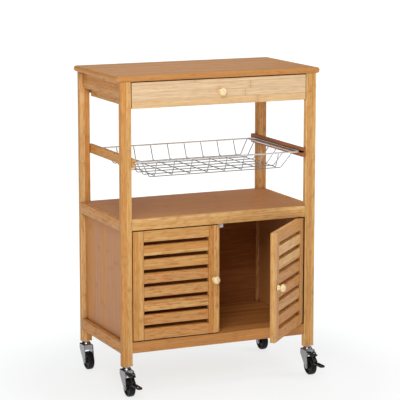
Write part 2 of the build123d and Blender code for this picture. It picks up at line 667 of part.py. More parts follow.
def door(name, plane, out):
    """A slatted door in its own plane: x from the pivot to the free edge, out the sign of outward y."""
    half = DOOR_THICKNESS / 2
    slat_y = sorted((out * (half - SLAT_RECESS), out * (half - SLAT_RECESS - SLAT_THICKNESS)))
    slat_middle = sum(slat_y) / 2
    lowest_slat = DOOR_BOTTOM + DOOR_RAIL_HEIGHT + SLOT_HEIGHT
    slat_bottoms = [lowest_slat + i * (SLAT_HEIGHT + SLOT_HEIGHT) for i in range(SLATS)]
    rail_bottoms = [DOOR_BOTTOM, DOOR_TOP - DOOR_RAIL_HEIGHT]
    tenon_x = (FIELD[0] - TENON, FIELD[1] + TENON)
    knob_seat = (KNOB_DOOR_X, out * half, KNOB_DOOR_Z)

    def tenons(bottoms, height, middle, mode):
        """Tenons of a row of level boards, or their mortises."""
        for bottom in bottoms:
            block(
                tenon_x,
                (middle - TENON_HALF, middle + TENON_HALF),
                (bottom + TENON_SHOULDER, bottom + height - TENON_SHOULDER),
                mode,
            )

    with BuildPart(plane) as frame:
        for edges in ((HINGE_EDGE, FIELD[0]), (FIELD[1], FREE_EDGE)):
            block(edges, (-half, half), (DOOR_BOTTOM, DOOR_TOP))
        across_door = Axis(plane.origin, plane.x_dir)
        fillet(frame.edges().filter_by(Axis.Z).group_by(across_door)[0], radius=STILE_ROUNDING)
        fillet(frame.edges().filter_by(Axis.Z).group_by(across_door)[-1], radius=SMALL_ROUNDING)
        tenons(slat_bottoms, SLAT_HEIGHT, slat_middle, Mode.SUBTRACT)
        tenons(rail_bottoms, DOOR_RAIL_HEIGHT, 0, Mode.SUBTRACT)
        rod((0, 0, DOOR_BOTTOM), (0, 0, 1), PIN_RADIUS + PIN_PLAY, PIN_DEPTH + 1, Mode.SUBTRACT)
        rod((0, 0, DOOR_TOP), (0, 0, -1), PIN_RADIUS + PIN_PLAY, PIN_DEPTH + 1, Mode.SUBTRACT)
        rod(knob_seat, (0, -out, 0), KNOB_TENON, KNOB_TENON_LENGTH, Mode.SUBTRACT)
    with BuildPart(plane) as door_rails:
        for bottom in rail_bottoms:
            block(FIELD, (-half, half), (bottom, bottom + DOOR_RAIL_HEIGHT))
        tenons(rail_bottoms, DOOR_RAIL_HEIGHT, 0, Mode.ADD)
    with BuildPart() as whole_frame:
        add(frame.part)
        add(door_rails.part)
    save(whole_frame, f"{name}_frame")
    with BuildPart(plane) as slats:
        for bottom in slat_bottoms:
            block(FIELD, slat_y, (bottom, bottom + SLAT_HEIGHT))
        fillet(slats.edges().filter_by(across_door), radius=SLAT_ROUNDING)
        tenons(slat_bottoms, SLAT_HEIGHT, slat_middle, Mode.ADD)
    save(slats, f"{name}_slats")
    knob(f"{name}_knob", plane.from_local_coords(knob_seat), plane.y_dir * out)


swing = radians(RIGHT_DOOR_OPEN)
left_plane = Plane(origin=(-DOOR_PIVOT_X, DOOR_PIVOT_Y, 0), x_dir=(1, 0, 0), z_dir=(0, 0, 1))
right_plane = Plane(
    origin=(DOOR_PIVOT_X, DOOR_PIVOT_Y, 0), x_dir=(-cos(swing), -sin(swing), 0), z_dir=(0, 0, 1)
)
door("left_door", left_plane, -1)
door("right_door", right_plane, 1)

with BuildPart() as door_pins:
    for side in SIDES.values():
        low = (side * DOOR_PIVOT_X, DOOR_PIVOT_Y, FLOOR_LEVEL - PIN_DEPTH)
        rod(low, (0, 0, 1), PIN_RADIUS, 2 * PIN_DEPTH + DOOR_GAP_ENDS)
        collar = (side * DOOR_PIVOT_X, DOOR_PIVOT_Y, FLOOR_LEVEL)
        rod(collar, (0, 0, 1), COLLAR_RADIUS, DOOR_GAP_ENDS - BODY_GAP)
        high = (side * DOOR_PIVOT_X, DOOR_PIVOT_Y, SHELF_RAIL + PIN_DEPTH)
        rod(high, (0, 0, -1), PIN_RADIUS, 2 * PIN_DEPTH + DOOR_GAP_ENDS)
save(door_pins, "door_pins")

CATCH_FRONT = FRONT + DOOR_THICKNESS + BODY_GAP
with BuildPart() as door_catch:
    catch_x = (-CATCH_HALF_WIDTH, CATCH_HALF_WIDTH)
    catch_back = CATCH_FRONT + CATCH_DEPTH
    lap = SHELF_RAIL + CATCH_LAP
    catch_top = SHELF_LEVEL - PANEL_THICKNESS
    block(catch_x, (FRONT + STOCK, FRONT + STOCK + CATCH_PLATE), (lap, catch_top))
    block(catch_x, (CATCH_FRONT, catch_back), (SHELF_RAIL - CATCH_DROP, lap))
    block((-CATCH_WEB, CATCH_WEB), (CATCH_FRONT + CATCH_NOSE, catch_back), (lap, catch_top))
save(door_catch, "door_catch")

# ---------------------------------------------------------------- casters
heading = radians(CASTER_HEADING)
FORK_CAVITY = FORK_HALF_WIDTH - FORK_WALL
AXLE_HALF_LENGTH = FORK_HALF_WIDTH + AXLE_HEAD_HEIGHT
FAR = 2 * FORK_TOP  # longer than any part of a fork, for cutting right through it


def caster_plane(place):
    """The plane of a caster: x along its heading, z up, origin on the floor below the swivel axis."""
    x, y = LEG_PLACES[place]
    return Plane(origin=(x, y, 0), x_dir=(sin(heading), -cos(heading), 0), z_dir=(0, 0, 1))


def upright(plane):
    """The upright plane through a caster's heading, with x ahead and y up."""
    return Plane(origin=plane.origin, x_dir=plane.x_dir, z_dir=-plane.y_dir)


with BuildPart() as caster_stems:
    for place in LEG_PLACES:
        with BuildSketch(upright(caster_plane(place))):
            head_top = FORK_TOP - FORK_WALL - SWIVEL_GAP
            race = FORK_TOP + SWIVEL_GAP
            with BuildLine():
                Polyline(
                    (0, head_top - KING_HEAD_HEIGHT),
                    (KING_HEAD, head_top - KING_HEAD_HEIGHT),
                    (KING_HEAD, head_top),
                    (KING_PIN, head_top),
                    (KING_PIN, race),
                    (RACE_RADII[0], race),
                    (RACE_RADII[1], race + RACE_HEIGHT),
                    (STEM_RADIUS, race + RACE_HEIGHT),
                    (STEM_RADIUS, LEG_FOOT),
                    (KING_PIN, LEG_FOOT),
                    (KING_PIN, LEG_FOOT + STEM_DEPTH),
                    (0, LEG_FOOT + STEM_DEPTH),
                    close=True,
                )
            make_face()
        x, y = LEG_PLACES[place]
        revolve(axis=Axis((x, y, 0), (0, 0, 1)))
save(caster_stems, "caster_stems")

for place in LEG_PLACES:
    ground = caster_plane(place)
    side_view = upright(ground)
    wheel_view = side_view.shift_origin(side_view.from_local_coords((TRAIL, WHEEL_RADIUS, 0)))
    braked = place in BRAKED

    with BuildPart(ground) as fork:
        with BuildSketch(side_view):
            with Locations(((FORK_BACK + FORK_FRONT) / 2, (FORK_TOP + FORK_LIP) / 2)):
                Rectangle(FORK_FRONT - FORK_BACK, FORK_TOP - FORK_LIP)
            with Locations((TRAIL, WHEEL_RADIUS)):
                Circle(FORK_EYE)
            make_hull()
        extrude(amount=FORK_HALF_WIDTH, both=True)
        if braked:
            with BuildSketch(side_view):
                with Locations((FORK_FRONT - BRAKE_EAR_INSET, BRAKE_PIVOT[1])):
                    Circle(BRAKE_EYE)
                with Locations(BRAKE_PIVOT):
                    Circle(BRAKE_EYE)
                make_hull()
            extrude(amount=FORK_HALF_WIDTH, both=True)
        fillet(fork.faces().sort_by(Axis.Z)[-1].edges(), radius=FORK_ROUNDING)
        inside = (-FORK_CAVITY, FORK_CAVITY)
        block((-FAR, FAR), inside, (0, FORK_LIP), Mode.SUBTRACT)
        cavity_x = (FORK_BACK + FORK_WALL, FORK_FRONT - FORK_WALL)
        block(cavity_x, inside, (0, FORK_TOP - FORK_WALL), Mode.SUBTRACT)
        block((FORK_FRONT, FAR), inside, (0, FORK_TOP), Mode.SUBTRACT)
        rod((0, 0, FORK_LIP), (0, 0, 1), KING_PIN + KING_PIN_PLAY, FAR, Mode.SUBTRACT)
        rod((TRAIL, -FAR / 2, WHEEL_RADIUS), (0, 1, 0), AXLE_RADIUS, FAR, Mode.SUBTRACT)
        if braked:
            rod((BRAKE_PIVOT[0], -FAR / 2, BRAKE_PIVOT[1]), (0, 1, 0), BRAKE_PIN, FAR, Mode.SUBTRACT)
    save(fork, f"caster_fork_{place}")

    with BuildPart() as wheel:
        with BuildSketch(wheel_view):
            Circle(WHEEL_RADIUS)
            Circle(AXLE_RADIUS + AXLE_PLAY, mode=Mode.SUBTRACT)
        extrude(amount=WHEEL_WIDTH / 2, both=True)
        tread = wheel.edges().filter_by(GeomType.CIRCLE).sort_by(SortBy.RADIUS)[-2:]
        fillet(tread, radius=WHEEL_ROUNDING)
        with BuildSketch(wheel_view):
            Circle(HUB_RADIUS)
            Circle(AXLE_RADIUS + AXLE_PLAY, mode=Mode.SUBTRACT)
        extrude(amount=FORK_CAVITY - BODY_GAP, both=True)
        for face_side in (-1, 1):
            with BuildSketch(wheel_view.offset(face_side * WHEEL_WIDTH / 2)):
                Circle(WEB_RADIUS)
                Circle(HUB_RADIUS, mode=Mode.SUBTRACT)
            extrude(amount=-face_side * WEB_DEPTH, mode=Mode.SUBTRACT)
    save(wheel, f"caster_wheel_{place}")

    with BuildPart(ground) as axle:
        rod((TRAIL, -AXLE_HALF_LENGTH, WHEEL_RADIUS), (0, 1, 0), AXLE_RADIUS, 2 * AXLE_HALF_LENGTH)
        for face_side in (-1, 1):
            head = (TRAIL, face_side * FORK_HALF_WIDTH, WHEEL_RADIUS)
            rod(head, (0, face_side, 0), AXLE_HEAD, AXLE_HEAD_HEIGHT)
        if braked:
            pin = (BRAKE_PIVOT[0], -AXLE_HALF_LENGTH, BRAKE_PIVOT[1])
            rod(pin, (0, 1, 0), BRAKE_PIN, 2 * AXLE_HALF_LENGTH)
    save(axle, f"caster_axle_{place}")

    if braked:
        with BuildPart(ground) as lever:
            pivot_x, pivot_z = BRAKE_PIVOT
            with BuildSketch(side_view):
                with Locations(BRAKE_PIVOT):
                    Circle(BRAKE_EYE)
                    Circle(BRAKE_PIN + PIN_PLAY, mode=Mode.SUBTRACT)
            extrude(amount=LEVER_HALF_WIDTH, both=True)
            with BuildSketch(side_view):
                with BuildLine():
                    Polyline(
                        (pivot_x + LEVER_ROOT, pivot_z + BRAKE_EYE / 4),
                        *TAB_TIP,
                        ELBOW[0],
                        KNEE[0],
                        (PEDAL_ROOT, PEDAL_LEVELS[1]),
                        KNEE[1],
                        ELBOW[1],
                        (pivot_x + LEVER_ROOT, pivot_z - BRAKE_EYE / 2),
                        close=True,
                    )
                make_face()
            extrude(amount=LEVER_HALF_WIDTH, both=True)
            pedal_y = (-PEDAL_HALF_WIDTH, PEDAL_HALF_WIDTH)
            block((PEDAL_ROOT, PEDAL_TIP), pedal_y, (PEDAL_LEVELS[1], PEDAL_LEVELS[0]))
            pedal_corners = lever.edges().filter_by(Axis.Z).group_by(Axis(ground.origin, ground.x_dir))[-1]
            fillet(pedal_corners, radius=PEDAL_ROUNDING)
            slot_y = (-PEDAL_SLOT_HALF_WIDTH, PEDAL_SLOT_HALF_WIDTH)
            block(PEDAL_SLOT, slot_y, (0, KNEE[0][1]), Mode.SUBTRACT)
        save(lever, f"brake_lever_{place.replace('front_', '')}")

# ---------------------------------------------------------------- fasteners
with BuildPart() as frame_bolts:
    for side in SIDES.values():
        for row_y, row_z in BOLT_ROWS:
            head = (side * (RIGHT - BOLT_SINK), row_y, row_z)
            inward = (-side, 0, 0)
            rod(head, inward, BOLT_HEAD, BOLT_HEAD_HEIGHT)
            rod(head, inward, BOLT_RADIUS, LEG_WIDTH + BOLT_REACH - BOLT_SINK)
            rod(head, inward, BOLT_SOCKET, BOLT_SOCKET_DEPTH, Mode.SUBTRACT)
save(frame_bolts, "frame_bolts")

with BuildPart() as frame_dowels:
    for side in SIDES.values():
        for x, z in DOWEL_ROWS:
            for y in (FRONT + LEG_DEPTH - DOWEL_IN_LEG, BACK - LEG_DEPTH - DOWEL_IN_RAIL):
                rod((side * x, y, z), (0, 1, 0), DOWEL_RADIUS, DOWEL_IN_LEG + DOWEL_IN_RAIL)
save(frame_dowels, "frame_dowels")

with BuildPart() as wood_screws:
    for side in SIDES.values():
        for x, y, z in SHORT_SCREWS:
            rod((side * x, y, z), (side, 0, 0), SCREW_RADIUS, SCREW_LENGTH)
            rod((side * x, y, z), (side, 0, 0), SCREW_HEAD, SCREW_HEAD_HEIGHT)
    for x, y, _ in TOP_SCREWS:
        rod((x, y, TOP_SCREW_START), (0, 0, 1), SCREW_RADIUS, TOP_SCREW_LENGTH)
        rod((x, y, TOP_SCREW_START), (0, 0, -1), COUNTERBORE - PLUG_PLAY, PLUG_HEIGHT)
save(wood_screws, "wood_screws")
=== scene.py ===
"""Rolling bamboo kitchen cart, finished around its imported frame.

Metres, +Z up, floor at Z = 0. The front faces -Y. Each operator makes or finishes one group of pieces.
Boards and wires are surfaces worked out on grids. Machined parts keep the frame's own shape.
"""

import json
import math

import bmesh
import bpy
import numpy as np
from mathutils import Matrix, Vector


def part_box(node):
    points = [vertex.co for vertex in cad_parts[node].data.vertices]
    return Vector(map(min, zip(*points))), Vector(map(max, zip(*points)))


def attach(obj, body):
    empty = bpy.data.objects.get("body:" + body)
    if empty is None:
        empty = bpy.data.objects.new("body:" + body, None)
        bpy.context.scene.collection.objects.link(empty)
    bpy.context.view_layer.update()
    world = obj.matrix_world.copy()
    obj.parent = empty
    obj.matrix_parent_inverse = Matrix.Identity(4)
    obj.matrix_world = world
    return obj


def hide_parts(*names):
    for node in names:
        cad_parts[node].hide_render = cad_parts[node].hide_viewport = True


bl_info = {
    "name": "Bamboo Kitchen Cart",
    "version": (1, 0, 0),
    "blender": (4, 5, 0),
    "location": "View3D > Sidebar > Kitchen Cart",
    "description": "Boards, basket, doors, casters and finishes of a rolling bamboo kitchen cart",
    "category": "Add Mesh",
}

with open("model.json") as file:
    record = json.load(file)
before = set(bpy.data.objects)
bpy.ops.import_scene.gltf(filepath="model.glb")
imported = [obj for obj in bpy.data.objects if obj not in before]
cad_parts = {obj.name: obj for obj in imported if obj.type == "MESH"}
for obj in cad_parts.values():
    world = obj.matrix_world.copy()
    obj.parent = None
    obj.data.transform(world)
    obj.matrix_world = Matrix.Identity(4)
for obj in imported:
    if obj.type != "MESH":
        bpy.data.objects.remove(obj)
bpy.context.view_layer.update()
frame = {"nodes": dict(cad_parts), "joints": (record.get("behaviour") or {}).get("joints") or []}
NODES = frame["nodes"]
JOINTS = {joint["name"]: joint for joint in frame["joints"]}

MM = 0.001
X, Y, Z = np.eye(3)
ALONG_X, ALONG_Y, ALONG_Z = range(3)
CASTERS = ("front_left", "front_right", "back_left", "back_right")
MERGE_DISTANCE = 1e-6
MIX_FACTOR, MIX_A, MIX_B, MIX_RESULT = 0, 6, 7, 2  # sockets of a colour Mix node


def linear(hex_colour):
    """An sRGB hex colour as linear RGBA."""
    channels = [int(hex_colour[i : i + 2], 16) / 255 for i in (1, 3, 5)]
    return tuple(c / 12.92 if c <= 0.04045 else ((c + 0.055) / 1.055) ** 2.4 for c in channels) + (1.0,)


# ---------------------------------------------------------------- settings
class CartColours(bpy.types.PropertyGroup):
    """Colours of the cart's woods, metals and plastics."""

    honey: bpy.props.FloatVectorProperty(
        name="Honey", description="Main tone of the lacquered bamboo",
        subtype="COLOR", size=4, min=0, max=1, default=linear("#D7A96C"),
    )
    straw: bpy.props.FloatVectorProperty(
        name="Straw", description="Palest strips of the lacquered bamboo",
        subtype="COLOR", size=4, min=0, max=1, default=linear("#E0B57B"),
    )
    amber: bpy.props.FloatVectorProperty(
        name="Amber", description="Deeper, orange strips and clouds in the lacquered bamboo",
        subtype="COLOR", size=4, min=0, max=1, default=linear("#C88A48"),
    )
    # Toffee is partly some boards' own darker tone and partly painted shade: on the bottom door slats and
    # rails, the right-hand door stiles and the back right leg.
    toffee: bpy.props.FloatVectorProperty(
        name="Toffee", description="Main tone of the boards that are a little darker",
        subtype="COLOR", size=4, min=0, max=1, default=linear("#CB9861"),
    )
    russet: bpy.props.FloatVectorProperty(
        name="Russet", description="Rings where a bamboo cane had its nodes, and glue lines",
        subtype="COLOR", size=4, min=0, max=1, default=linear("#8A5226"),
    )
    caramel: bpy.props.FloatVectorProperty(
        name="Caramel", description="Main tone of the worktop and of the rail under the doors",
        subtype="COLOR", size=4, min=0, max=1, default=linear("#BE8753"),
    )
    rust: bpy.props.FloatVectorProperty(
        name="Rust", description="Small reddish flecks along the fibres",
        subtype="COLOR", size=4, min=0, max=1, default=linear("#B0602A"),
    )
    # Umber is painted shade: it darkens the cabinet's back and floor, which stand in shade inside the
    # cabinet, and the right basket rail, whose inner face is in shade.
    umber: bpy.props.FloatVectorProperty(
        name="Umber", description="Tone of the cabinet's back, its floor and the right basket rail",
        subtype="COLOR", size=4, min=0, max=1, default=linear("#9C6238"),
    )
    pale: bpy.props.FloatVectorProperty(
        name="Pale", description="Main tone of the drawer front",
        subtype="COLOR", size=4, min=0, max=1, default=linear("#DFC09A"),
    )
    panel: bpy.props.FloatVectorProperty(
        name="Panel", description="Main tone of the shelf and the cabinet's panels",
        subtype="COLOR", size=4, min=0, max=1, default=linear("#C08A65"),
    )
    knob: bpy.props.FloatVectorProperty(
        name="Knob", description="Turned pale wood of the knobs",
        subtype="COLOR", size=4, min=0, max=1, default=linear("#F2DCAC"),
    )
    ply: bpy.props.FloatVectorProperty(
        name="Plywood", description="Face veneer of the drawer's bottom",
        subtype="COLOR", size=4, min=0, max=1, default=linear("#E3C79B"),
    )
    rubber: bpy.props.FloatVectorProperty(
        name="Wheel", description="Black nylon of the wheels",
        subtype="COLOR", size=4, min=0, max=1, default=linear("#09090A"),
    )
    lever: bpy.props.FloatVectorProperty(
        name="Brake lever", description="Black-brown plastic of the brake levers",
        subtype="COLOR", size=4, min=0, max=1, default=linear("#141211"),
    )
    catch: bpy.props.FloatVectorProperty(
        name="Catch", description="White plastic of the door catch",
        subtype="COLOR", size=4, min=0, max=1, default=linear("#E6E6E8"),
    )


class CartSizes(bpy.types.PropertyGroup):
    """Sizes that don't follow from the frame."""

    arris: bpy.props.FloatProperty(
        name="Arris", description="Rounding along the edges of rails and slats",
        unit="LENGTH", min=0.0002, max=0.004, default=1.5 * MM,
    )
    stile_rounding: bpy.props.FloatProperty(
        name="Stile rounding", description="Rounding of a door stile's edges on the hinge side",
        unit="LENGTH", min=0.0005, max=0.006, default=2.0 * MM,
    )
    strip: bpy.props.FloatProperty(
        name="Strip", description="Width of one laminated bamboo strip",
        unit="LENGTH", min=0.005, max=0.05, default=20 * MM,
    )
    wire_bend: bpy.props.FloatProperty(
        name="Wire bend", description="Radius of the bends in the basket's thin wires",
        unit="LENGTH", min=0.003, max=0.02, default=6 * MM,
    )
    floor: bpy.props.FloatProperty(
        name="Floor", description="Radius of the studio floor",
        unit="LENGTH", min=5, max=200, default=80.0,
    )


# ---------------------------------------------------------------- materials
def add_node(tree, kind, links=(), **settings):
    """Add a node, set its settings, and wire or set its inputs."""
    added = tree.nodes.new(kind)
    for name, value in settings.items():
        setattr(added, name, value)
    for socket, value in dict(links).items():
        if isinstance(value, bpy.types.NodeSocket):
            tree.links.new(value, added.inputs[socket])
        else:
            added.inputs[socket].default_value = value
    return added


def blank_material(name):
    """A material that holds only its shader, with the tree and the shader."""
    material = bpy.data.materials.new(name)
    material.use_nodes = True
    tree = material.node_tree
    return material, tree, tree.nodes["Principled BSDF"]


BAMBOO = {}


def bamboo(finish, along, across, strip=None, shift=0.0):
    """Laminated bamboo, planed and lacquered in satin; strips of split cane glued edge to edge and in layers.

    The eye sees strips in slightly different honey tones, fine fibres along them, soft orange clouds, short
    reddish flecks, and a brown ring across a strip every few hands' widths, where the cane had a node. Inner
    corners, joints and narrow gaps are darkened by ambient occlusion: painted shade. The lacquer adds a soft
    gloss.
    along is the direction of the fibres and across the direction in which strips lie side by side.
    """
    key = (finish, tuple(np.round(along, 4)), tuple(np.round(across, 4)), strip, shift)
    if key in BAMBOO:
        return BAMBOO[key]
    colours = bpy.context.scene.cart_colours
    tones = {
        "honey": (colours.straw, colours.honey, colours.amber),
        "toffee": (colours.honey, colours.toffee, colours.amber),
        "caramel": (colours.toffee, colours.caramel, colours.amber),
        "pale": (colours.pale, colours.pale, colours.straw),
        "panel": (colours.panel, colours.panel, colours.amber),
        # the last two finishes are painted shade: darker umber copies of the bamboo for pieces that stand in
        # shade
        "shaded": (colours.umber, colours.umber, colours.russet),
        "chestnut_painted_shade": (colours.umber, colours.amber, colours.umber),
    }[finish]
    cloudiness = {"pale": 0.15, "shaded": 0.2, "chestnut_painted_shade": 0.2}.get(finish, 0.5)
    fleckiness = {"honey": 0.4, "toffee": 0.65, "caramel": 0.3}.get(finish, 0.15)
    strip_mm = (strip or bpy.context.scene.cart_sizes.strip) / MM
    layer_mm = 5.5  # thickness of one layer of strips
    cane_mm = 900.0  # how far strips are slid along each other
    node_mm = 370.0  # from one ring on a cane to the next
    ring = 1.6 / node_mm  # width of a ring, as a part of that
    waviness = 0.012  # how far the fibres push a ring's edge about, as a part of the same
    glue = 0.5 / strip_mm  # width of a glue line, as a part of a strip

    material, tree, shader = blank_material(f"bamboo_{finish}_{len(BAMBOO)}")
    place = add_node(tree, "ShaderNodeTexCoord").outputs["Object"]

    def measure(direction, unit_mm, start_mm):
        """How far a point lies along a direction, in a unit of so many millimetres."""
        scaled = tuple(direction / (unit_mm * MM))
        dot = add_node(tree, "ShaderNodeVectorMath", {0: place, 1: scaled}, operation="DOT_PRODUCT")
        links = {0: dot.outputs["Value"], 1: start_mm / unit_mm}
        return add_node(tree, "ShaderNodeMath", links, operation="ADD").outputs[0]

    through = np.cross(along, across)
    lengthwise = measure(along, 1.0, 0.0)
    sideways, strips = (measure(across, unit_mm, shift / MM) for unit_mm in (1.0, strip_mm))
    depth, layers = (measure(through, unit_mm, layer_mm / 2) for unit_mm in (1.0, layer_mm))

    # each strip is a cell of its own, with a tone and a place along its cane
    cell = add_node(tree, "ShaderNodeCombineXYZ", {0: strips, 1: layers}).outputs[0]
    whole_cell = add_node(tree, "ShaderNodeVectorMath", {0: cell}, operation="FLOOR").outputs[0]
    chance = add_node(tree, "ShaderNodeTexWhiteNoise", {"Vector": whole_cell}, noise_dimensions="3D")
    chances = add_node(tree, "ShaderNodeSeparateColor", {0: chance.outputs["Color"]}).outputs
    slide = {0: chances[0], 1: cane_mm, 2: lengthwise}
    own = add_node(tree, "ShaderNodeMath", slide, operation="MULTIPLY_ADD").outputs[0]
    tone = add_node(tree, "ShaderNodeValToRGB", {0: chances[1]})
    stops = tone.color_ramp.elements
    stops[0].color, stops[0].position = tones[0], 0.0
    stops[1].color, stops[1].position = tones[2], 1.0
    stops.new(0.4).color = tones[1]

    # bundles of fibres, clouds and flecks: each one's length and width in millimetres, detail and roughness
    grain = add_node(tree, "ShaderNodeCombineXYZ", {0: own, 1: sideways, 2: depth}).outputs[0]
    noises = []
    for length_mm, width_mm, detail, rough in (
        (150, 2.8, 4.0, 0.65),
        (48, 6.0, 3.0, 0.5),
        (24, 4.5, 4.0, 0.5),
    ):
        stretch = {0: grain, 1: (1 / length_mm, 1 / width_mm, 1 / width_mm)}
        stretched = add_node(tree, "ShaderNodeVectorMath", stretch, operation="MULTIPLY").outputs[0]
        links = {"Vector": stretched, "Scale": 1.0, "Detail": detail, "Roughness": rough}
        noises.append(add_node(tree, "ShaderNodeTexNoise", links).outputs["Fac"])
    fibres, clouds, flecks = noises

    # distances from the nearest ring, whose edge the fibres make uneven, and from the nearest glue line
    links = {0: own, 1: 1 / node_mm, 2: 0.5}
    cane = add_node(tree, "ShaderNodeMath", links, operation="MULTIPLY_ADD").outputs[0]
    links = {0: fibres, 1: waviness, 2: cane}
    wavy = add_node(tree, "ShaderNodeMath", links, operation="MULTIPLY_ADD").outputs[0]
    from_ring = add_node(tree, "ShaderNodeMath", {0: wavy, 1: 0.5}, operation="PINGPONG").outputs[0]
    from_glue = add_node(tree, "ShaderNodeMath", {0: strips, 1: 0.5}, operation="PINGPONG").outputs[0]
    # ambient occlusion, which darkens inner corners, joints, gaps and slots further on: painted shade
    crevice_occlusion = add_node(tree, "ShaderNodeAmbientOcclusion", {"Distance": 12 * MM}, samples=8).outputs["AO"]

    # what each mark follows, over which span of it, and how strong the mark is at either end of the span
    marks = {}
    for mark, source, low, high, at_low, at_high, kind in (
        ("cloud", clouds, 0.42, 0.72, 0.0, cloudiness, "SMOOTHSTEP"),
        ("fleck", flecks, 0.46, 0.68, 0.0, fleckiness, "SMOOTHSTEP"),
        ("fibre", fibres, 0.25, 0.75, 0.74, 1.2, "LINEAR"),
        ("ring", from_ring, 0.3 * ring, 1.6 * ring, 0.3, 0.0, "SMOOTHSTEP"),
        ("halo", from_ring, ring, 9 * ring, 0.105, 0.0, "SMOOTHSTEP"),
        ("stain", from_glue, 0.5 * glue, 2 * glue, 0.22, 0.0, "SMOOTHSTEP"),
        ("groove", from_glue, 0.5 * glue, 2 * glue, 1.0, 0.0, "SMOOTHSTEP"),
        # darker where the surface is occluded: painted shade in corners, joints, gaps and slots
        ("painted_crevice_shade", crevice_occlusion, 0.15, 0.7, 0.12, 1.0, "SMOOTHSTEP"),
        ("gloss", fibres, 0.2, 0.8, 0.38, 0.5, "LINEAR"),
    ):
        span = {0: source, 1: low, 2: high, 3: at_low, 4: at_high}
        marks[mark] = add_node(tree, "ShaderNodeMapRange", span, interpolation_type=kind).outputs[0]
    links = {0: marks["ring"], 1: marks["halo"]}
    rings = add_node(tree, "ShaderNodeMath", links, operation="MAXIMUM").outputs[0]

    colour = tone.outputs[0]
    for amount, blend, over in (
        (marks["cloud"], "MIX", tuple(colours.amber)),
        (marks["fleck"], "MIX", tuple(colours.rust)),
        (1.0, "MULTIPLY", marks["fibre"]),
        (rings, "MIX", tuple(colours.russet)),
        (marks["stain"], "MIX", tuple(colours.russet)),
        # last layer: painted shade, darker in corners, joints, gaps and slots
        (1.0, "MULTIPLY", marks["painted_crevice_shade"]),
    ):
        links = {MIX_FACTOR: amount, MIX_A: colour, MIX_B: over}
        mix = add_node(tree, "ShaderNodeMix", links, data_type="RGBA", blend_type=blend)
        colour = mix.outputs[MIX_RESULT]
    tree.links.new(colour, shader.inputs["Base Color"])
    tree.links.new(marks["gloss"], shader.inputs["Roughness"])
    links = {0: marks["groove"], 1: -0.7, 2: fibres}
    relief = add_node(tree, "ShaderNodeMath", links, operation="MULTIPLY_ADD").outputs[0]
    links = {"Height": relief, "Strength": 0.25, "Distance": 0.12 * MM}
    tree.links.new(add_node(tree, "ShaderNodeBump", links).outputs[0], shader.inputs["Normal"])
    shader.inputs["IOR"].default_value = 1.5
    shader.inputs["Specular IOR Level"].default_value = 0.08
    shader.inputs["Coat Weight"].default_value = 0.02
    shader.inputs["Coat Roughness"].default_value = 0.22
    BAMBOO[key] = material
    return material


def speckled(name, colour, roughness, metallic=0.0, grit=0.4, depth=0.02, shade=0.06, coat=0.0, gloss=0.5):
    """A material of one colour whose surface is slightly uneven.

    grit is the size of the unevenness and depth its height, both in millimetres; shade is how far the colour
    wanders from its own tone.
    """
    material, tree, shader = blank_material(name)
    place = add_node(tree, "ShaderNodeTexCoord").outputs["Object"]
    spots = add_node(
        tree, "ShaderNodeTexNoise", {"Vector": place, "Scale": 1 / (grit * MM), "Detail": 3.0}
    ).outputs["Fac"]
    patches = add_node(
        tree, "ShaderNodeTexNoise", {"Vector": place, "Scale": 1 / (30 * grit * MM), "Detail": 2.0}
    ).outputs["Fac"]
    dark = tuple(c * (1 - shade) for c in colour[:3]) + (1.0,)
    light = tuple(min(1.0, c * (1 + shade)) for c in colour[:3]) + (1.0,)
    mixed = add_node(
        tree, "ShaderNodeMix", {MIX_FACTOR: patches, MIX_A: dark, MIX_B: light}, data_type="RGBA"
    )
    tree.links.new(mixed.outputs[MIX_RESULT], shader.inputs["Base Color"])
    rough = add_node(
        tree, "ShaderNodeMapRange", {0: patches, 1: 0.3, 2: 0.7, 3: roughness * 0.85, 4: roughness * 1.15}
    )
    tree.links.new(rough.outputs[0], shader.inputs["Roughness"])
    bump = add_node(tree, "ShaderNodeBump", {"Height": spots, "Strength": 0.5, "Distance": depth * MM})
    tree.links.new(bump.outputs[0], shader.inputs["Normal"])
    shader.inputs["Metallic"].default_value = metallic
    shader.inputs["Specular IOR Level"].default_value = gloss
    shader.inputs["Coat Weight"].default_value = coat
    shader.inputs["Coat Roughness"].default_value = 0.15
    return material


def turned_wood(name, colour, centre, axis):
    """Pale hardwood turned on a lathe and lacquered: faint growth rings about the axis and fine pores."""
    heart = Vector((0.03, 0, 0.02))  # of the tree, from the foot of the knob
    ring_mm = 7.854
    one_wave = math.pi / 10  # length of the texture's wave at scale 1, in metres
    pores_per_mm = 1.8
    material, tree, shader = blank_material(name)
    place = add_node(tree, "ShaderNodeTexCoord").outputs["Object"]
    moved = add_node(
        tree, "ShaderNodeMapping", {"Vector": place, "Location": tuple(-Vector(centre) - heart)}
    ).outputs[0]
    scale = one_wave / (ring_mm * MM)
    growth = add_node(
        tree,
        "ShaderNodeTexWave",
        {"Vector": moved, "Scale": scale, "Distortion": 1.5, "Detail": 2.0, "Detail Scale": 3.0},
        wave_type="RINGS",
        rings_direction="Y" if abs(axis[1]) > abs(axis[0]) else "X",
    )
    deep = tuple(c * f for c, f in zip(colour[:3], (0.9, 0.84, 0.75))) + (1.0,)
    mixed = add_node(
        tree,
        "ShaderNodeMix",
        {MIX_FACTOR: growth.outputs["Fac"], MIX_A: tuple(colour), MIX_B: deep},
        data_type="RGBA",
    )
    tree.links.new(mixed.outputs[MIX_RESULT], shader.inputs["Base Color"])
    pores = add_node(
        tree, "ShaderNodeTexNoise", {"Vector": place, "Scale": pores_per_mm / MM, "Detail": 2.0}
    )
    bump = add_node(
        tree, "ShaderNodeBump", {"Height": pores.outputs["Fac"], "Strength": 0.3, "Distance": 0.05 * MM}
    )
    tree.links.new(bump.outputs[0], shader.inputs["Normal"])
    shader.inputs["Roughness"].default_value = 0.34
    shader.inputs["Coat Weight"].default_value = 0.4
    return material


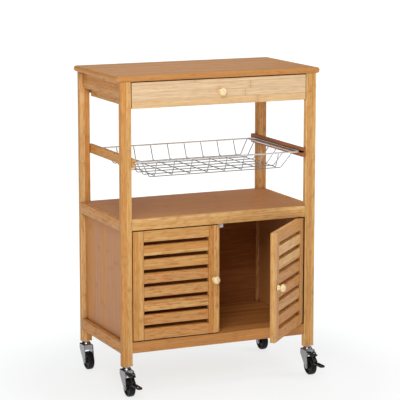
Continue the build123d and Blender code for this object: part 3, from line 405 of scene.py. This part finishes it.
# ---------------------------------------------------------------- shapes
def grid_faces(rows, columns, close_rows=False):
    """The four-sided faces of a grid of points whose columns join up in a ring."""
    across = np.arange(columns)
    ahead = (across + 1) % columns
    first = np.arange(rows if close_rows else rows - 1)[:, None] * columns
    second = (first + columns) % (rows * columns)
    return np.stack((first + across, first + ahead, second + ahead, second + across), -1).reshape(-1, 4)


def make_piece(name, points, faces, body, material, slot, replaces=(), weighted=True):
    """Turn grid points and faces into a smooth, closed piece that rides on a body."""
    mesh = bpy.data.meshes.new(name)
    mesh.from_pydata(points.reshape(-1, 3).tolist(), [], [list(face) for face in faces])
    mesh.materials.append(material)
    piece = bpy.data.objects.new(name, mesh)
    bpy.context.scene.collection.objects.link(piece)
    edit = bmesh.new()
    edit.from_mesh(mesh)
    bmesh.ops.remove_doubles(edit, verts=edit.verts, dist=MERGE_DISTANCE)
    bmesh.ops.recalc_face_normals(edit, faces=edit.faces)
    edit.to_mesh(mesh)
    edit.free()
    mesh.shade_smooth()
    if weighted:
        mesh.set_sharp_from_angle(angle=math.radians(50))
        flat = piece.modifiers.new("flat faces", "WEIGHTED_NORMAL")
        flat.keep_sharp = True
    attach(piece, body)
    if replaces:
        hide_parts(*replaces)
    return piece


def board_grid(low, high, axis, corner, arris):
    """Points and faces of a board: a rounded rectangle carried along one axis.

    The section's corners are quarter circles of radius corner. Near each end the section shrinks by
    arris * (1 - sin t) while it moves in by arris * (1 - cos t), a quarter circle, so the end is rounded too.
    """
    low, high = np.array(low, float), np.array(high, float)
    others = [(axis + 1) % 3, (axis + 2) % 3]
    quarter = np.linspace(0, math.pi / 2, 5 if corner < 5 * MM else 9)
    angles = np.concatenate([quarter + turn * math.pi / 2 for turn in range(4)])
    directions = np.stack((np.cos(angles), np.sin(angles)), -1)
    signs = np.repeat(np.array([(1, 1), (-1, 1), (-1, -1), (1, -1)]), len(quarter), 0)
    middle, half = (low + high) / 2, (high - low) / 2
    centres = middle[others] + signs * (half[others] - corner)
    ends = np.linspace(0, math.pi / 2, 5)
    inset = arris * (1 - np.sin(ends))
    moved = arris * (1 - np.cos(ends))
    radii = corner - np.concatenate((inset, inset[::-1]))
    stations = np.concatenate((low[axis] + moved, high[axis] - moved[::-1]))
    points = np.empty((len(stations), len(angles), 3))
    points[..., others] = centres[None] + radii[:, None, None] * directions[None]
    points[..., axis] = stations[:, None]
    rows, columns = points.shape[:2]
    faces = [list(face) for face in grid_faces(rows, columns)]
    step = len(quarter) if corner <= arris else 1
    faces.append(list(range(0, columns, step))[::-1])
    faces.append(list(range((rows - 1) * columns, rows * columns, step)))
    return points, faces


def board(name, low, high, axis, body, material, slot, replaces=(), corner=None, arris=None, place=None):
    """A board with rounded edges, turned into place if a place is given."""
    arris = arris or bpy.context.scene.cart_sizes.arris
    points, faces = board_grid(low, high, axis, corner or arris, arris)
    if place:
        points = place(points)
    return make_piece(name, points, faces, body, material, slot, replaces)


def turned_grid(profile, base, axis):
    """Points and faces of a profile of (radius, height) pairs turned round an axis from a base point.

    A point is the base plus its height along the axis plus its radius times (cos a, sin a) across the axis,
    where a runs once round.
    """
    axis = np.array(axis, float)
    side = np.cross(axis, Z if abs(axis[2]) < 0.9 else X)
    side /= np.linalg.norm(side)
    up = np.cross(axis, side)
    angles = np.linspace(0, 2 * math.pi, 49)[:-1]
    ring = np.cos(angles)[:, None] * side + np.sin(angles)[:, None] * up
    profile = np.array(profile, float)
    points = np.array(base) + profile[:, 0, None, None] * ring[None] + profile[:, 1, None, None] * axis
    return points, [list(face) for face in grid_faces(len(profile), len(angles))]


def arc(centre, radius, start, end, steps=7):
    """Points of a circular arc between two angles in degrees."""
    angles = np.radians(np.linspace(start, end, steps))
    return np.stack((centre[0] + radius * np.cos(angles), centre[1] + radius * np.sin(angles)), -1)


def rounded_path(corners, bend, closed=False):
    """Points along straight runs whose corners are arcs of one radius.

    With h half the angle between two runs, the arc's centre lies bend / sin h inward from their corner, and
    the arc sweeps from h - 90 to 90 - h degrees about the way to the corner.
    """
    corners = np.array(corners, float)
    count = len(corners)
    path = [] if closed else [corners[:1]]
    for i in range(count) if closed else range(1, count - 1):
        before = corners[i - 1] - corners[i]
        after = corners[(i + 1) % count] - corners[i]
        before /= np.linalg.norm(before)
        after /= np.linalg.norm(after)
        half = math.acos(float(before @ after)) / 2
        inward = (before + after) / np.linalg.norm(before + after)
        centre = corners[i] + inward * bend / math.sin(half)
        sweep = np.linspace(half - math.pi / 2, math.pi / 2 - half, 7)[:, None]
        outward = (after - before) / np.linalg.norm(after - before)
        path.append(centre - bend * (np.cos(sweep) * inward - np.sin(sweep) * outward))
    if not closed:
        path.append(corners[-1:])
    return np.concatenate(path)


def tube_grid(path, radius, closed=False, sides=12):
    """Points and faces of a round wire whose centre follows a flat path; open ends are domed shut.

    Each ring is radius * (cos a, sin a) across the mean direction of the runs before and after its point. At
    an open end the radius shrinks by a factor d while the ring stands sqrt(1 - d^2) radii from the full one.
    """
    before = path - np.roll(path, 1, 0)
    after = np.roll(path, -1, 0) - path
    if not closed:
        before[0], after[-1] = after[0], before[-1]
    before /= np.linalg.norm(before, axis=1, keepdims=True)
    after /= np.linalg.norm(after, axis=1, keepdims=True)
    ahead = before + after
    ahead /= np.linalg.norm(ahead, axis=1, keepdims=True)
    flat = np.cross(path[len(path) // 2] - path[0], path[-1] - path[0])
    if np.linalg.norm(flat) < 1e-9:
        flat = np.cross(ahead[0], Z if abs(ahead[0][2]) < 0.9 else X)
    flat = np.broadcast_to(flat / np.linalg.norm(flat), path.shape)
    side = np.cross(flat, ahead)
    angles = np.linspace(0, 2 * math.pi, sides + 1)[:-1]
    ring = np.cos(angles)[None, :, None] * side[:, None] + np.sin(angles)[None, :, None] * flat[:, None]
    radii = np.full(len(path), radius)
    if not closed:
        dome = np.array([0.02, 0.6, 1.0])
        rise = np.sqrt(1 - dome**2)
        head = path[0] + ahead[0] * radius * (1 - rise[:, None])
        tail = path[-1] - ahead[-1] * radius * (1 - rise[::-1, None])
        path = np.concatenate((head, path[1:-1], tail))
        ring = np.concatenate((np.repeat(ring[:1], 3, 0), ring[1:-1], np.repeat(ring[-1:], 3, 0)))
        radii = np.concatenate((radius * dome, radii[1:-1], radius * dome[::-1]))
    points = path[:, None] + radii[:, None, None] * ring
    faces = [list(face) for face in grid_faces(len(path), sides, closed)]
    if not closed:
        faces.append(list(range(sides))[::-1])
        faces.append(list(range((len(path) - 1) * sides, len(path) * sides)))
    return points, faces


def joined(grids):
    """Several grids as one set of points and faces."""
    points, faces, start = [], [], 0
    for some_points, some_faces in grids:
        points.append(some_points.reshape(-1, 3))
        faces += [[start + corner for corner in face] for face in some_faces]
        start += len(points[-1])
    return np.concatenate(points), faces


def finish_node(node, material):
    """Give a piece of the frame its real finish."""
    slots = NODES[node].data.materials
    if len(slots):
        for i in range(len(slots)):
            slots[i] = material
    else:
        slots.append(material)


# ---------------------------------------------------------------- pieces
SIDE_AXES = {"front": ALONG_X, "back": ALONG_X, "left": ALONG_Y, "right": ALONG_Y}
RAIL_FINISHES = {"shelf_rail_front": "honey", "base_rail_front": "caramel"}
END_ARRIS = 0.8 * MM  # rounding where one board meets another


class CART_OT_worktop(bpy.types.Operator):
    """Make the worktop, a slab of strips that run from side to side, with rounded corners and edges"""

    bl_idname = "cart.worktop"
    bl_label = "Worktop"

    def execute(self, context):
        low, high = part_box("worktop")
        board(
            "worktop_slab", low, high, ALONG_Z, "cart", bamboo("caramel", X, Y), "bamboo",
            ("worktop",), corner=10 * MM, arris=6 * MM,
        )
        return {"FINISHED"}


class CART_OT_frame(bpy.types.Operator):
    """Make the rails and aprons and finish the four legs and the basket's rails"""

    bl_idname = "cart.frame"
    bl_label = "Frame"

    def execute(self, context):
        leg_strip, leg_shift = 15 * MM, 13 * MM
        for place in CASTERS:
            # the back right leg takes the darker toffee: painted shade, as it stands in the shadow of the
            # worktop and drawer
            finish = "toffee" if place == "back_right" else "honey"
            finish_node(f"leg_{place}", bamboo(finish, Z, X, leg_strip, leg_shift))
        # the right basket rail takes the dark shaded finish: painted shade, for its inner face that lies in
        # shade
        for side, finish in (("left", "honey"), ("right", "shaded")):
            finish_node(f"basket_rail_{side}", bamboo(finish, Y, Z))
        for level in ("shelf", "base"):
            for side, axis in SIDE_AXES.items():
                node = f"{level}_rail_{side}"
                low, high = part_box(node)
                wood = bamboo(RAIL_FINISHES.get(node, "toffee"), np.eye(3)[axis], Z)
                board(f"{node}_board", low, high, axis, "cart", wood, "bamboo", (node,))
        for side in ("left", "right", "back"):
            node, axis = f"apron_{side}", SIDE_AXES[side]
            low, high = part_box(node)
            wood = bamboo("toffee", np.eye(3)[axis], Z)
            board(f"{node}_board", low, high, axis, "cart", wood, "bamboo", (node,), arris=1 * MM)
        return {"FINISHED"}


class CART_OT_panels(bpy.types.Operator):
    """Finish the shelf, the cabinet's floor, its side panels and its back"""

    bl_idname = "cart.panels"
    bl_label = "Panels"

    def execute(self, context):
        wide_strip = 60 * MM
        finish_node("shelf_panel", bamboo("panel", X, Y))
        # the cabinet's floor takes a dark umber finish: painted shade, for the shade inside the cabinet
        finish_node("cabinet_floor", bamboo("chestnut_painted_shade", X, Y))
        for side in ("left", "right"):
            finish_node(f"side_panel_{side}", bamboo("panel", Z, Y))
        # the cabinet's back takes the dark shaded finish: painted shade, for the shade inside the cabinet
        finish_node("back_panel", bamboo("shaded", X, Z, wide_strip))
        return {"FINISHED"}


class CART_OT_drawer(bpy.types.Operator):
    """Make the drawer's front and back and finish its sides, bottom and runners"""

    bl_idname = "cart.drawer"
    bl_label = "Drawer"

    def execute(self, context):
        runner_strip = 10 * MM
        low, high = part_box("drawer_front")
        board(
            "drawer_front_board", low, high, ALONG_X, "drawer", bamboo("pale", X, Z), "pale_bamboo",
            ("drawer_front",),
        )
        low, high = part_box("drawer_back")
        board(
            "drawer_back_board", low, high, ALONG_X, "drawer", bamboo("pale", X, Z), "drawer_ply",
            ("drawer_back",), arris=END_ARRIS,
        )
        for side in ("left", "right"):
            finish_node(f"drawer_side_{side}", bamboo("toffee", Y, Z))
            finish_node(f"drawer_runner_{side}", bamboo("honey", Y, Z, runner_strip))
        # sanded and left bare: dull, a little rough, and uneven in tone
        plywood = speckled("unfinished_plywood", context.scene.cart_colours.ply, 0.65, grit=1.2, depth=0.04)
        finish_node("drawer_bottom", plywood)
        return {"FINISHED"}


class CART_OT_basket(bpy.types.Operator):
    """Make the chromed wire basket: a thick rim with two bars, and thin wires welded under them"""

    bl_idname = "cart.basket"
    bl_label = "Wire basket"

    def execute(self, context):
        bend, corner_bend = context.scene.cart_sizes.wire_bend, 10 * MM
        rim_wire, bar_wire, thin_wire = 2.0 * MM, 1.75 * MM, 1.2 * MM
        cross_wires, long_wires = 8, 7
        # drawn wire, bent, welded and chromed: bright, with soft, broken reflections
        chrome = speckled(
            "chromed_steel_wire", linear("#F0F0F2"), 0.34, metallic=1.0, grit=0.8, depth=0.004, shade=0.05
        )
        # the same chrome in a darker grey, for the thin wires
        darker_chrome = speckled(
            "darker_chromed_wire", linear("#A4A4A8"), 0.3, metallic=1.0, grit=0.8, depth=0.004, shade=0.05
        )
        rim_low, rim_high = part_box("basket_rim")
        left, right = rim_low.x + rim_wire, rim_high.x - rim_wire
        front, back = rim_low.y + rim_wire, rim_high.y - rim_wire
        level = (rim_low.z + rim_high.z) / 2
        rim_corners = [(left, front, level), (right, front, level), (right, back, level), (left, back, level)]
        bar_x = 219 * MM
        rim_path = rounded_path(rim_corners, corner_bend, closed=True)
        rim = [tube_grid(rim_path, rim_wire, closed=True, sides=16)]
        for x in (-bar_x, bar_x):
            rim.append(tube_grid(np.array([(x, front, level), (x, back, level)]), bar_wire, sides=14))
        make_piece(
            "basket_rim_wire", *joined(rim), "basket", chrome, "basket_chrome",
            ("basket_rim",), weighted=False,
        )

        cross_low, cross_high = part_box("basket_cross_wires")
        slope = 17 * MM
        floor_z = cross_low.z + thin_wire
        wires = []
        for x in np.linspace(cross_low.x + thin_wire, cross_high.x - thin_wire, cross_wires):
            corners = [
                (x, front, level - rim_wire),
                (x, front + slope, floor_z),
                (x, back - slope, floor_z),
                (x, back, level - rim_wire),
            ]
            wires.append(tube_grid(rounded_path(corners, bend), thin_wire))
        make_piece(
            "basket_cross_wire", *joined(wires), "basket", darker_chrome, "basket_chrome",
            ("basket_cross_wires",), weighted=False,
        )

        long_low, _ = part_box("basket_long_wires")
        floor_half = 192 * MM
        low_z, high_z = long_low.z + thin_wire, level - bar_wire
        wires = []
        for low_y, high_y in zip(
            np.linspace(front + slope, back - slope, long_wires),
            np.linspace(front + rim_wire, back - rim_wire, long_wires),
        ):
            corners = [
                (-bar_x, high_y, high_z),
                (-floor_half, low_y, low_z),
                (floor_half, low_y, low_z),
                (bar_x, high_y, high_z),
            ]
            wires.append(tube_grid(rounded_path(corners, bend), thin_wire))
        make_piece(
            "basket_long_wire", *joined(wires), "basket", darker_chrome, "basket_chrome",
            ("basket_long_wires",), weighted=False,
        )
        return {"FINISHED"}


class CART_OT_doors(bpy.types.Operator):
    """Make the two slatted doors: stiles, rails and six slats each, the right one standing open"""

    bl_idname = "cart.doors"
    bl_label = "Doors"

    def execute(self, context):
        sizes = context.scene.cart_sizes
        thickness, stile, rail = 15 * MM, 31 * MM, 29.5 * MM
        slot, recess, slat_thickness = 10.3 * MM, 1.5 * MM, 12 * MM
        stile_strip, stile_shift = 15.5 * MM, 4 * MM
        # the last number counts the bottom slats that take the darker toffee: painted shade
        slats, shaded_lower_slats = 6, 4
        low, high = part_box("left_door_frame")
        width, bottom, top = high.x - low.x, low.z, high.z
        hinge = -thickness / 2  # along the door, from the pivot
        field = (hinge + stile, hinge + width - stile)
        slat = (top - bottom - 2 * rail - (slats + 1) * slot) / slats
        for name, out in (("left_door", -1), ("right_door", 1)):
            joint = JOINTS[f"{name}_hinge"]
            pivot = np.array(joint["pos_m"])
            swing = math.radians(-joint["range_deg"][0])
            ahead = np.array([-out * math.cos(swing), -math.sin(swing), 0.0])
            sideways = np.array([-ahead[1], ahead[0], 0.0])

            def place(points):
                """From the door's own plane to where it hangs."""
                along, out_of_plane, up = points[..., :1], points[..., 1:2], points[..., 2:]
                return pivot * (1, 1, 0) + along * ahead + out_of_plane * sideways + up * Z

            # the bottom four slats and the bottom rail take the darker toffee: painted shade, as the light
            # falls off towards the floor
            upper, lower_shaded_wood = bamboo("honey", ahead, Z), bamboo("toffee", ahead, Z)
            half = thickness / 2
            # the stile on the right of each door takes the darker toffee: painted shade, as the light falls
            # off towards the right
            for part, span, edge, finish in (
                ("hinge_stile", (hinge, field[0]), sizes.stile_rounding, "honey" if out < 0 else "toffee"),
                ("free_stile", (field[1], hinge + width), sizes.arris, "toffee" if out < 0 else "honey"),
            ):
                upright = bamboo(finish, Z, ahead, stile_strip, stile_shift)
                board(
                    f"{name}_{part}", (span[0], -half, bottom), (span[1], half, top), ALONG_Z, name, upright,
                    "bamboo", (f"{name}_frame",), corner=edge, arris=END_ARRIS, place=place,
                )
            for part, start, wood in (("bottom_rail", bottom, lower_shaded_wood), ("top_rail", top - rail, upper)):
                board(
                    f"{name}_{part}", (field[0], -half, start), (field[1], half, start + rail), ALONG_X, name,
                    wood, "bamboo", (f"{name}_frame",), arris=END_ARRIS, place=place,
                )
            face, rear = out * (half - recess), out * (half - recess - slat_thickness)
            for i in range(slats):
                start = bottom + rail + slot + i * (slat + slot)
                wood = lower_shaded_wood if i < shaded_lower_slats else upper
                board(
                    f"{name}_slat_{i + 1}", (field[0], min(face, rear), start),
                    (field[1], max(face, rear), start + slat), ALONG_X, name, wood,
                    "bamboo", (f"{name}_slats",), place=place,
                )
        return {"FINISHED"}


class CART_OT_knobs(bpy.types.Operator):
    """Make the three turned knobs: a flattened ball of a head on a narrow, hollowed neck and a tenon"""

    bl_idname = "cart.knobs"
    bl_label = "Knobs"

    def execute(self, context):
        tenon, tenon_radius, foot, foot_height = 10 * MM, 4 * MM, 7 * MM, 1 * MM
        neck, throat, throat_height = 5 * MM, 3.5 * MM, 6.5 * MM
        length, head, half_head = 22 * MM, 10.5 * MM, 7.5 * MM
        swing = math.radians(-JOINTS["right_door_hinge"]["range_deg"][0])
        right_out = np.array([math.sin(swing), -math.cos(swing), 0.0])
        turn = np.radians(np.linspace(-38, 90, 18))  # from under the head to its tip
        profile = np.concatenate((
            [(0, -tenon), (tenon_radius, -tenon), (tenon_radius, 0), (foot, 0), (foot, foot_height)],
            arc((neck + throat, throat_height), throat, 240, 120, 9),
            np.stack((head * np.cos(turn), length - half_head + half_head * np.sin(turn)), -1),
        ))
        for node, body, outward in (
            ("drawer_knob", "drawer", -Y),
            ("left_door_knob", "left_door", -Y),
            ("right_door_knob", "right_door", right_out),
        ):
            low, high = (np.array(corner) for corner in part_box(node))
            middle = (low + high) / 2
            base = middle - outward * (length - tenon) / 2
            wood = turned_wood(f"{node}_lacquered_wood", context.scene.cart_colours.knob, base, outward)
            make_piece(
                f"{node}_turned", *turned_grid(profile, base, outward), body, wood, "knob_wood", (node,),
            )
        return {"FINISHED"}


class CART_OT_fittings(bpy.types.Operator):
    """Finish the catch, pins, bolts, dowels and screws"""

    bl_idname = "cart.fittings"
    bl_label = "Fittings"

    def execute(self, context):
        colours = context.scene.cart_colours
        # electroplated: grey-white and half bright, with a faint crystal grain
        zinc = speckled("zinc_plated_steel", linear("#B9BBBD"), 0.34, metallic=1.0, grit=1.5, depth=0.01)
        # moulded in a polished tool: clean, with a low gloss
        finish_node("door_catch", speckled("moulded_white_plastic", colours.catch, 0.4, coat=0.1))
        for node in ("frame_bolts", "wood_screws"):
            finish_node(node, zinc)
        # oiled and heated to brown, so that it hardly shows in the wood
        finish_node("door_pins", speckled("burnished_steel_pin", linear("#5C4A3A"), 0.4, metallic=1.0))
        # turned and left bare: pale and dull
        finish_node("frame_dowels", speckled("beech_dowel", linear("#D9B98C"), 0.6, grit=1.0))
        return {"FINISHED"}


class CART_OT_casters(bpy.types.Operator):
    """Make the four wheels and finish their forks, stems, axles and brake levers"""

    bl_idname = "cart.casters"
    bl_label = "Casters"

    def execute(self, context):
        colours = context.scene.cart_colours
        # pressed from sheet and chromed: dark and light reflections, slightly blurred
        chrome = speckled(
            "chromed_pressed_steel", linear("#98989B"), 0.26, metallic=1.0, grit=2.0, depth=0.01
        )
        # moulded and lightly grained: deep black with hardly any gloss
        nylon = speckled("black_nylon", colours.rubber, 0.5, grit=0.6, depth=0.03, gloss=0.2)
        # moulded with a smoother face: black-brown with a dull gloss
        plastic = speckled("moulded_black_plastic", colours.lever, 0.4, grit=0.5, depth=0.02, gloss=0.3)
        finish_node("caster_stems", chrome)
        radius, half_width, rounding = 25 * MM, 8 * MM, 3.5 * MM
        bore, hub, half_hub = 2.56 * MM, 7 * MM, 11.2 * MM
        half_web, rim_inside, edge = 5.5 * MM, 18 * MM, 0.8 * MM
        half_profile = np.concatenate((
            [(bore, half_hub)],
            arc((hub - edge, half_hub - edge), edge, 90, 0, 4),
            [(hub + 0.6 * MM, half_web + 0.5 * MM), (hub + 1.2 * MM, half_web)],
            [(rim_inside - 1.2 * MM, half_web), (rim_inside - 0.5 * MM, half_web + 0.4 * MM)],
            arc((rim_inside + edge, half_width - edge), edge, 180, 90, 4),
            arc((radius - rounding, half_width - rounding), rounding, 90, 0, 8),
        ))
        mirrored = half_profile[::-1] * (1, -1)
        profile = np.concatenate((half_profile, mirrored, half_profile[:1]))
        for place in CASTERS:
            joint = JOINTS[f"{place}_wheel_spin"]
            make_piece(
                f"wheel_{place}_moulded", *turned_grid(profile, joint["pos_m"], joint["axis"]),
                f"wheel_{place}", nylon, "wheel_plastic", (f"caster_wheel_{place}",),
            )
            finish_node(f"caster_fork_{place}", chrome)
            finish_node(f"caster_axle_{place}", chrome)
        for side in ("left", "right"):
            finish_node(f"brake_lever_{side}", plastic)
        return {"FINISHED"}


class CART_OT_stage(bpy.types.Operator):
    """Lay a pale floor, hang soft studio lights and set up the camera"""

    bl_idname = "cart.stage"
    bl_label = "Stage"

    def execute(self, context):
        scene = context.scene
        sides = 64
        angles = np.linspace(0, 2 * math.pi, sides + 1)[:-1]
        rim = np.stack((np.cos(angles), np.sin(angles), np.zeros(sides)), -1) * scene.cart_sizes.floor
        mesh = bpy.data.meshes.new("studio_floor")
        mesh.from_pydata(rim.tolist(), [], [list(range(sides))])
        # matt paper that shines like an evenly lit backdrop, and shines less close to the cart: a painted
        # shadow round the cart
        material, tree, shader = blank_material("matt_white_floor")
        shader.inputs["Base Color"].default_value = linear("#787878")
        shader.inputs["Roughness"].default_value = 0.9
        shader.inputs["Emission Color"].default_value = linear("#FDFFFF")
        spot = add_node(tree, "ShaderNodeTexCoord").outputs["Object"]
        away = add_node(tree, "ShaderNodeVectorMath", {0: spot}, operation="LENGTH").outputs["Value"]
        floor_shine_painted_shadow = add_node(tree, "ShaderNodeMapRange", {0: away, 1: 0.45, 2: 1.2, 3: 0.76, 4: 1.02})
        tree.links.new(floor_shine_painted_shadow.outputs[0], shader.inputs["Emission Strength"])
        mesh.materials.append(material)
        floor = bpy.data.objects.new("studio_floor", mesh)
        scene.collection.objects.link(floor)

        # a bright ceiling over dark walls, so that upright faces keep their shading
        world = bpy.data.worlds.new("studio")
        scene.world = world
        world.use_nodes = True
        sky = world.node_tree
        direction = add_node(sky, "ShaderNodeTexCoord").outputs["Generated"]
        height = add_node(sky, "ShaderNodeSeparateXYZ", {0: direction}).outputs["Z"]
        ceiling = add_node(sky, "ShaderNodeMapRange", {0: height, 1: 0.7, 2: 0.85, 3: 0.04, 4: 0.85})
        sky.links.new(ceiling.outputs[0], sky.nodes["Background"].inputs["Strength"])
        sky.nodes["Background"].inputs["Color"].default_value = linear("#FFFFFF")

        aim, lamp_size = Vector((0.0, 0.08, 0.45)), 1.3
        for name, place, power in (
            ("key", (-1.3, -2.17, 1.95), 41.0),
            ("left", (-2.51, -1.37, 1.23), 8.0),
            ("right", (2.51, -0.59, 1.95), 22.0),
            ("top", (0.0, -0.18, 3.44), 14.0),
            ("rear", (0.84, 2.39, 2.17), 9.0),
        ):
            lamp = bpy.data.lights.new(name, "AREA")
            lamp.shape = "SQUARE"
            lamp.size = lamp_size
            lamp.energy = power
            light = bpy.data.objects.new(name, lamp)
            light.location = place
            light.rotation_euler = (aim - Vector(place)).to_track_quat("-Z", "Y").to_euler()
            scene.collection.objects.link(light)

        turn, rise, distance = math.radians(-24.18), math.radians(10.0), 5.05
        target = Vector((0.0115, 0.0846, 0.4783))
        back = Vector((math.sin(turn) * math.cos(rise), -math.cos(turn) * math.cos(rise), math.sin(rise)))
        lens = bpy.data.cameras.new("camera")
        lens.sensor_width = 36.0
        lens.lens = 166.3
        lens.clip_end = 500.0
        camera = bpy.data.objects.new("camera", lens)
        camera.location = target + back * distance
        camera.rotation_euler = (-back).to_track_quat("-Z", "Y").to_euler()
        scene.collection.objects.link(camera)
        scene.camera = camera
        scene.view_settings.view_transform = "Standard"
        return {"FINISHED"}


OPERATORS = (
    CART_OT_worktop,
    CART_OT_frame,
    CART_OT_panels,
    CART_OT_drawer,
    CART_OT_basket,
    CART_OT_doors,
    CART_OT_knobs,
    CART_OT_fittings,
    CART_OT_casters,
    CART_OT_stage,
)


class CART_PT_panel(bpy.types.Panel):
    """The cart's settings and operators."""

    bl_label = "Kitchen Cart"
    bl_idname = "CART_PT_panel"
    bl_space_type = "VIEW_3D"
    bl_region_type = "UI"
    bl_category = "Kitchen Cart"

    def draw(self, context):
        for group in (context.scene.cart_colours, context.scene.cart_sizes):
            box = self.layout.box()
            for name in group.bl_rna.properties.keys():
                if name not in ("rna_type", "name"):
                    box.prop(group, name)
        for operator in OPERATORS:
            self.layout.operator(operator.bl_idname)


CLASSES = (CartColours, CartSizes, *OPERATORS, CART_PT_panel)


def register():
    for cls in CLASSES:
        bpy.utils.register_class(cls)
    bpy.types.Scene.cart_colours = bpy.props.PointerProperty(type=CartColours)
    bpy.types.Scene.cart_sizes = bpy.props.PointerProperty(type=CartSizes)


def unregister():
    del bpy.types.Scene.cart_sizes
    del bpy.types.Scene.cart_colours
    for cls in reversed(CLASSES):
        bpy.utils.unregister_class(cls)


def main():
    """Make every piece and the stage."""
    register()
    for operator in OPERATORS:
        getattr(bpy.ops.cart, operator.bl_idname.split(".")[1])()


if __name__ == "__main__":
    main()
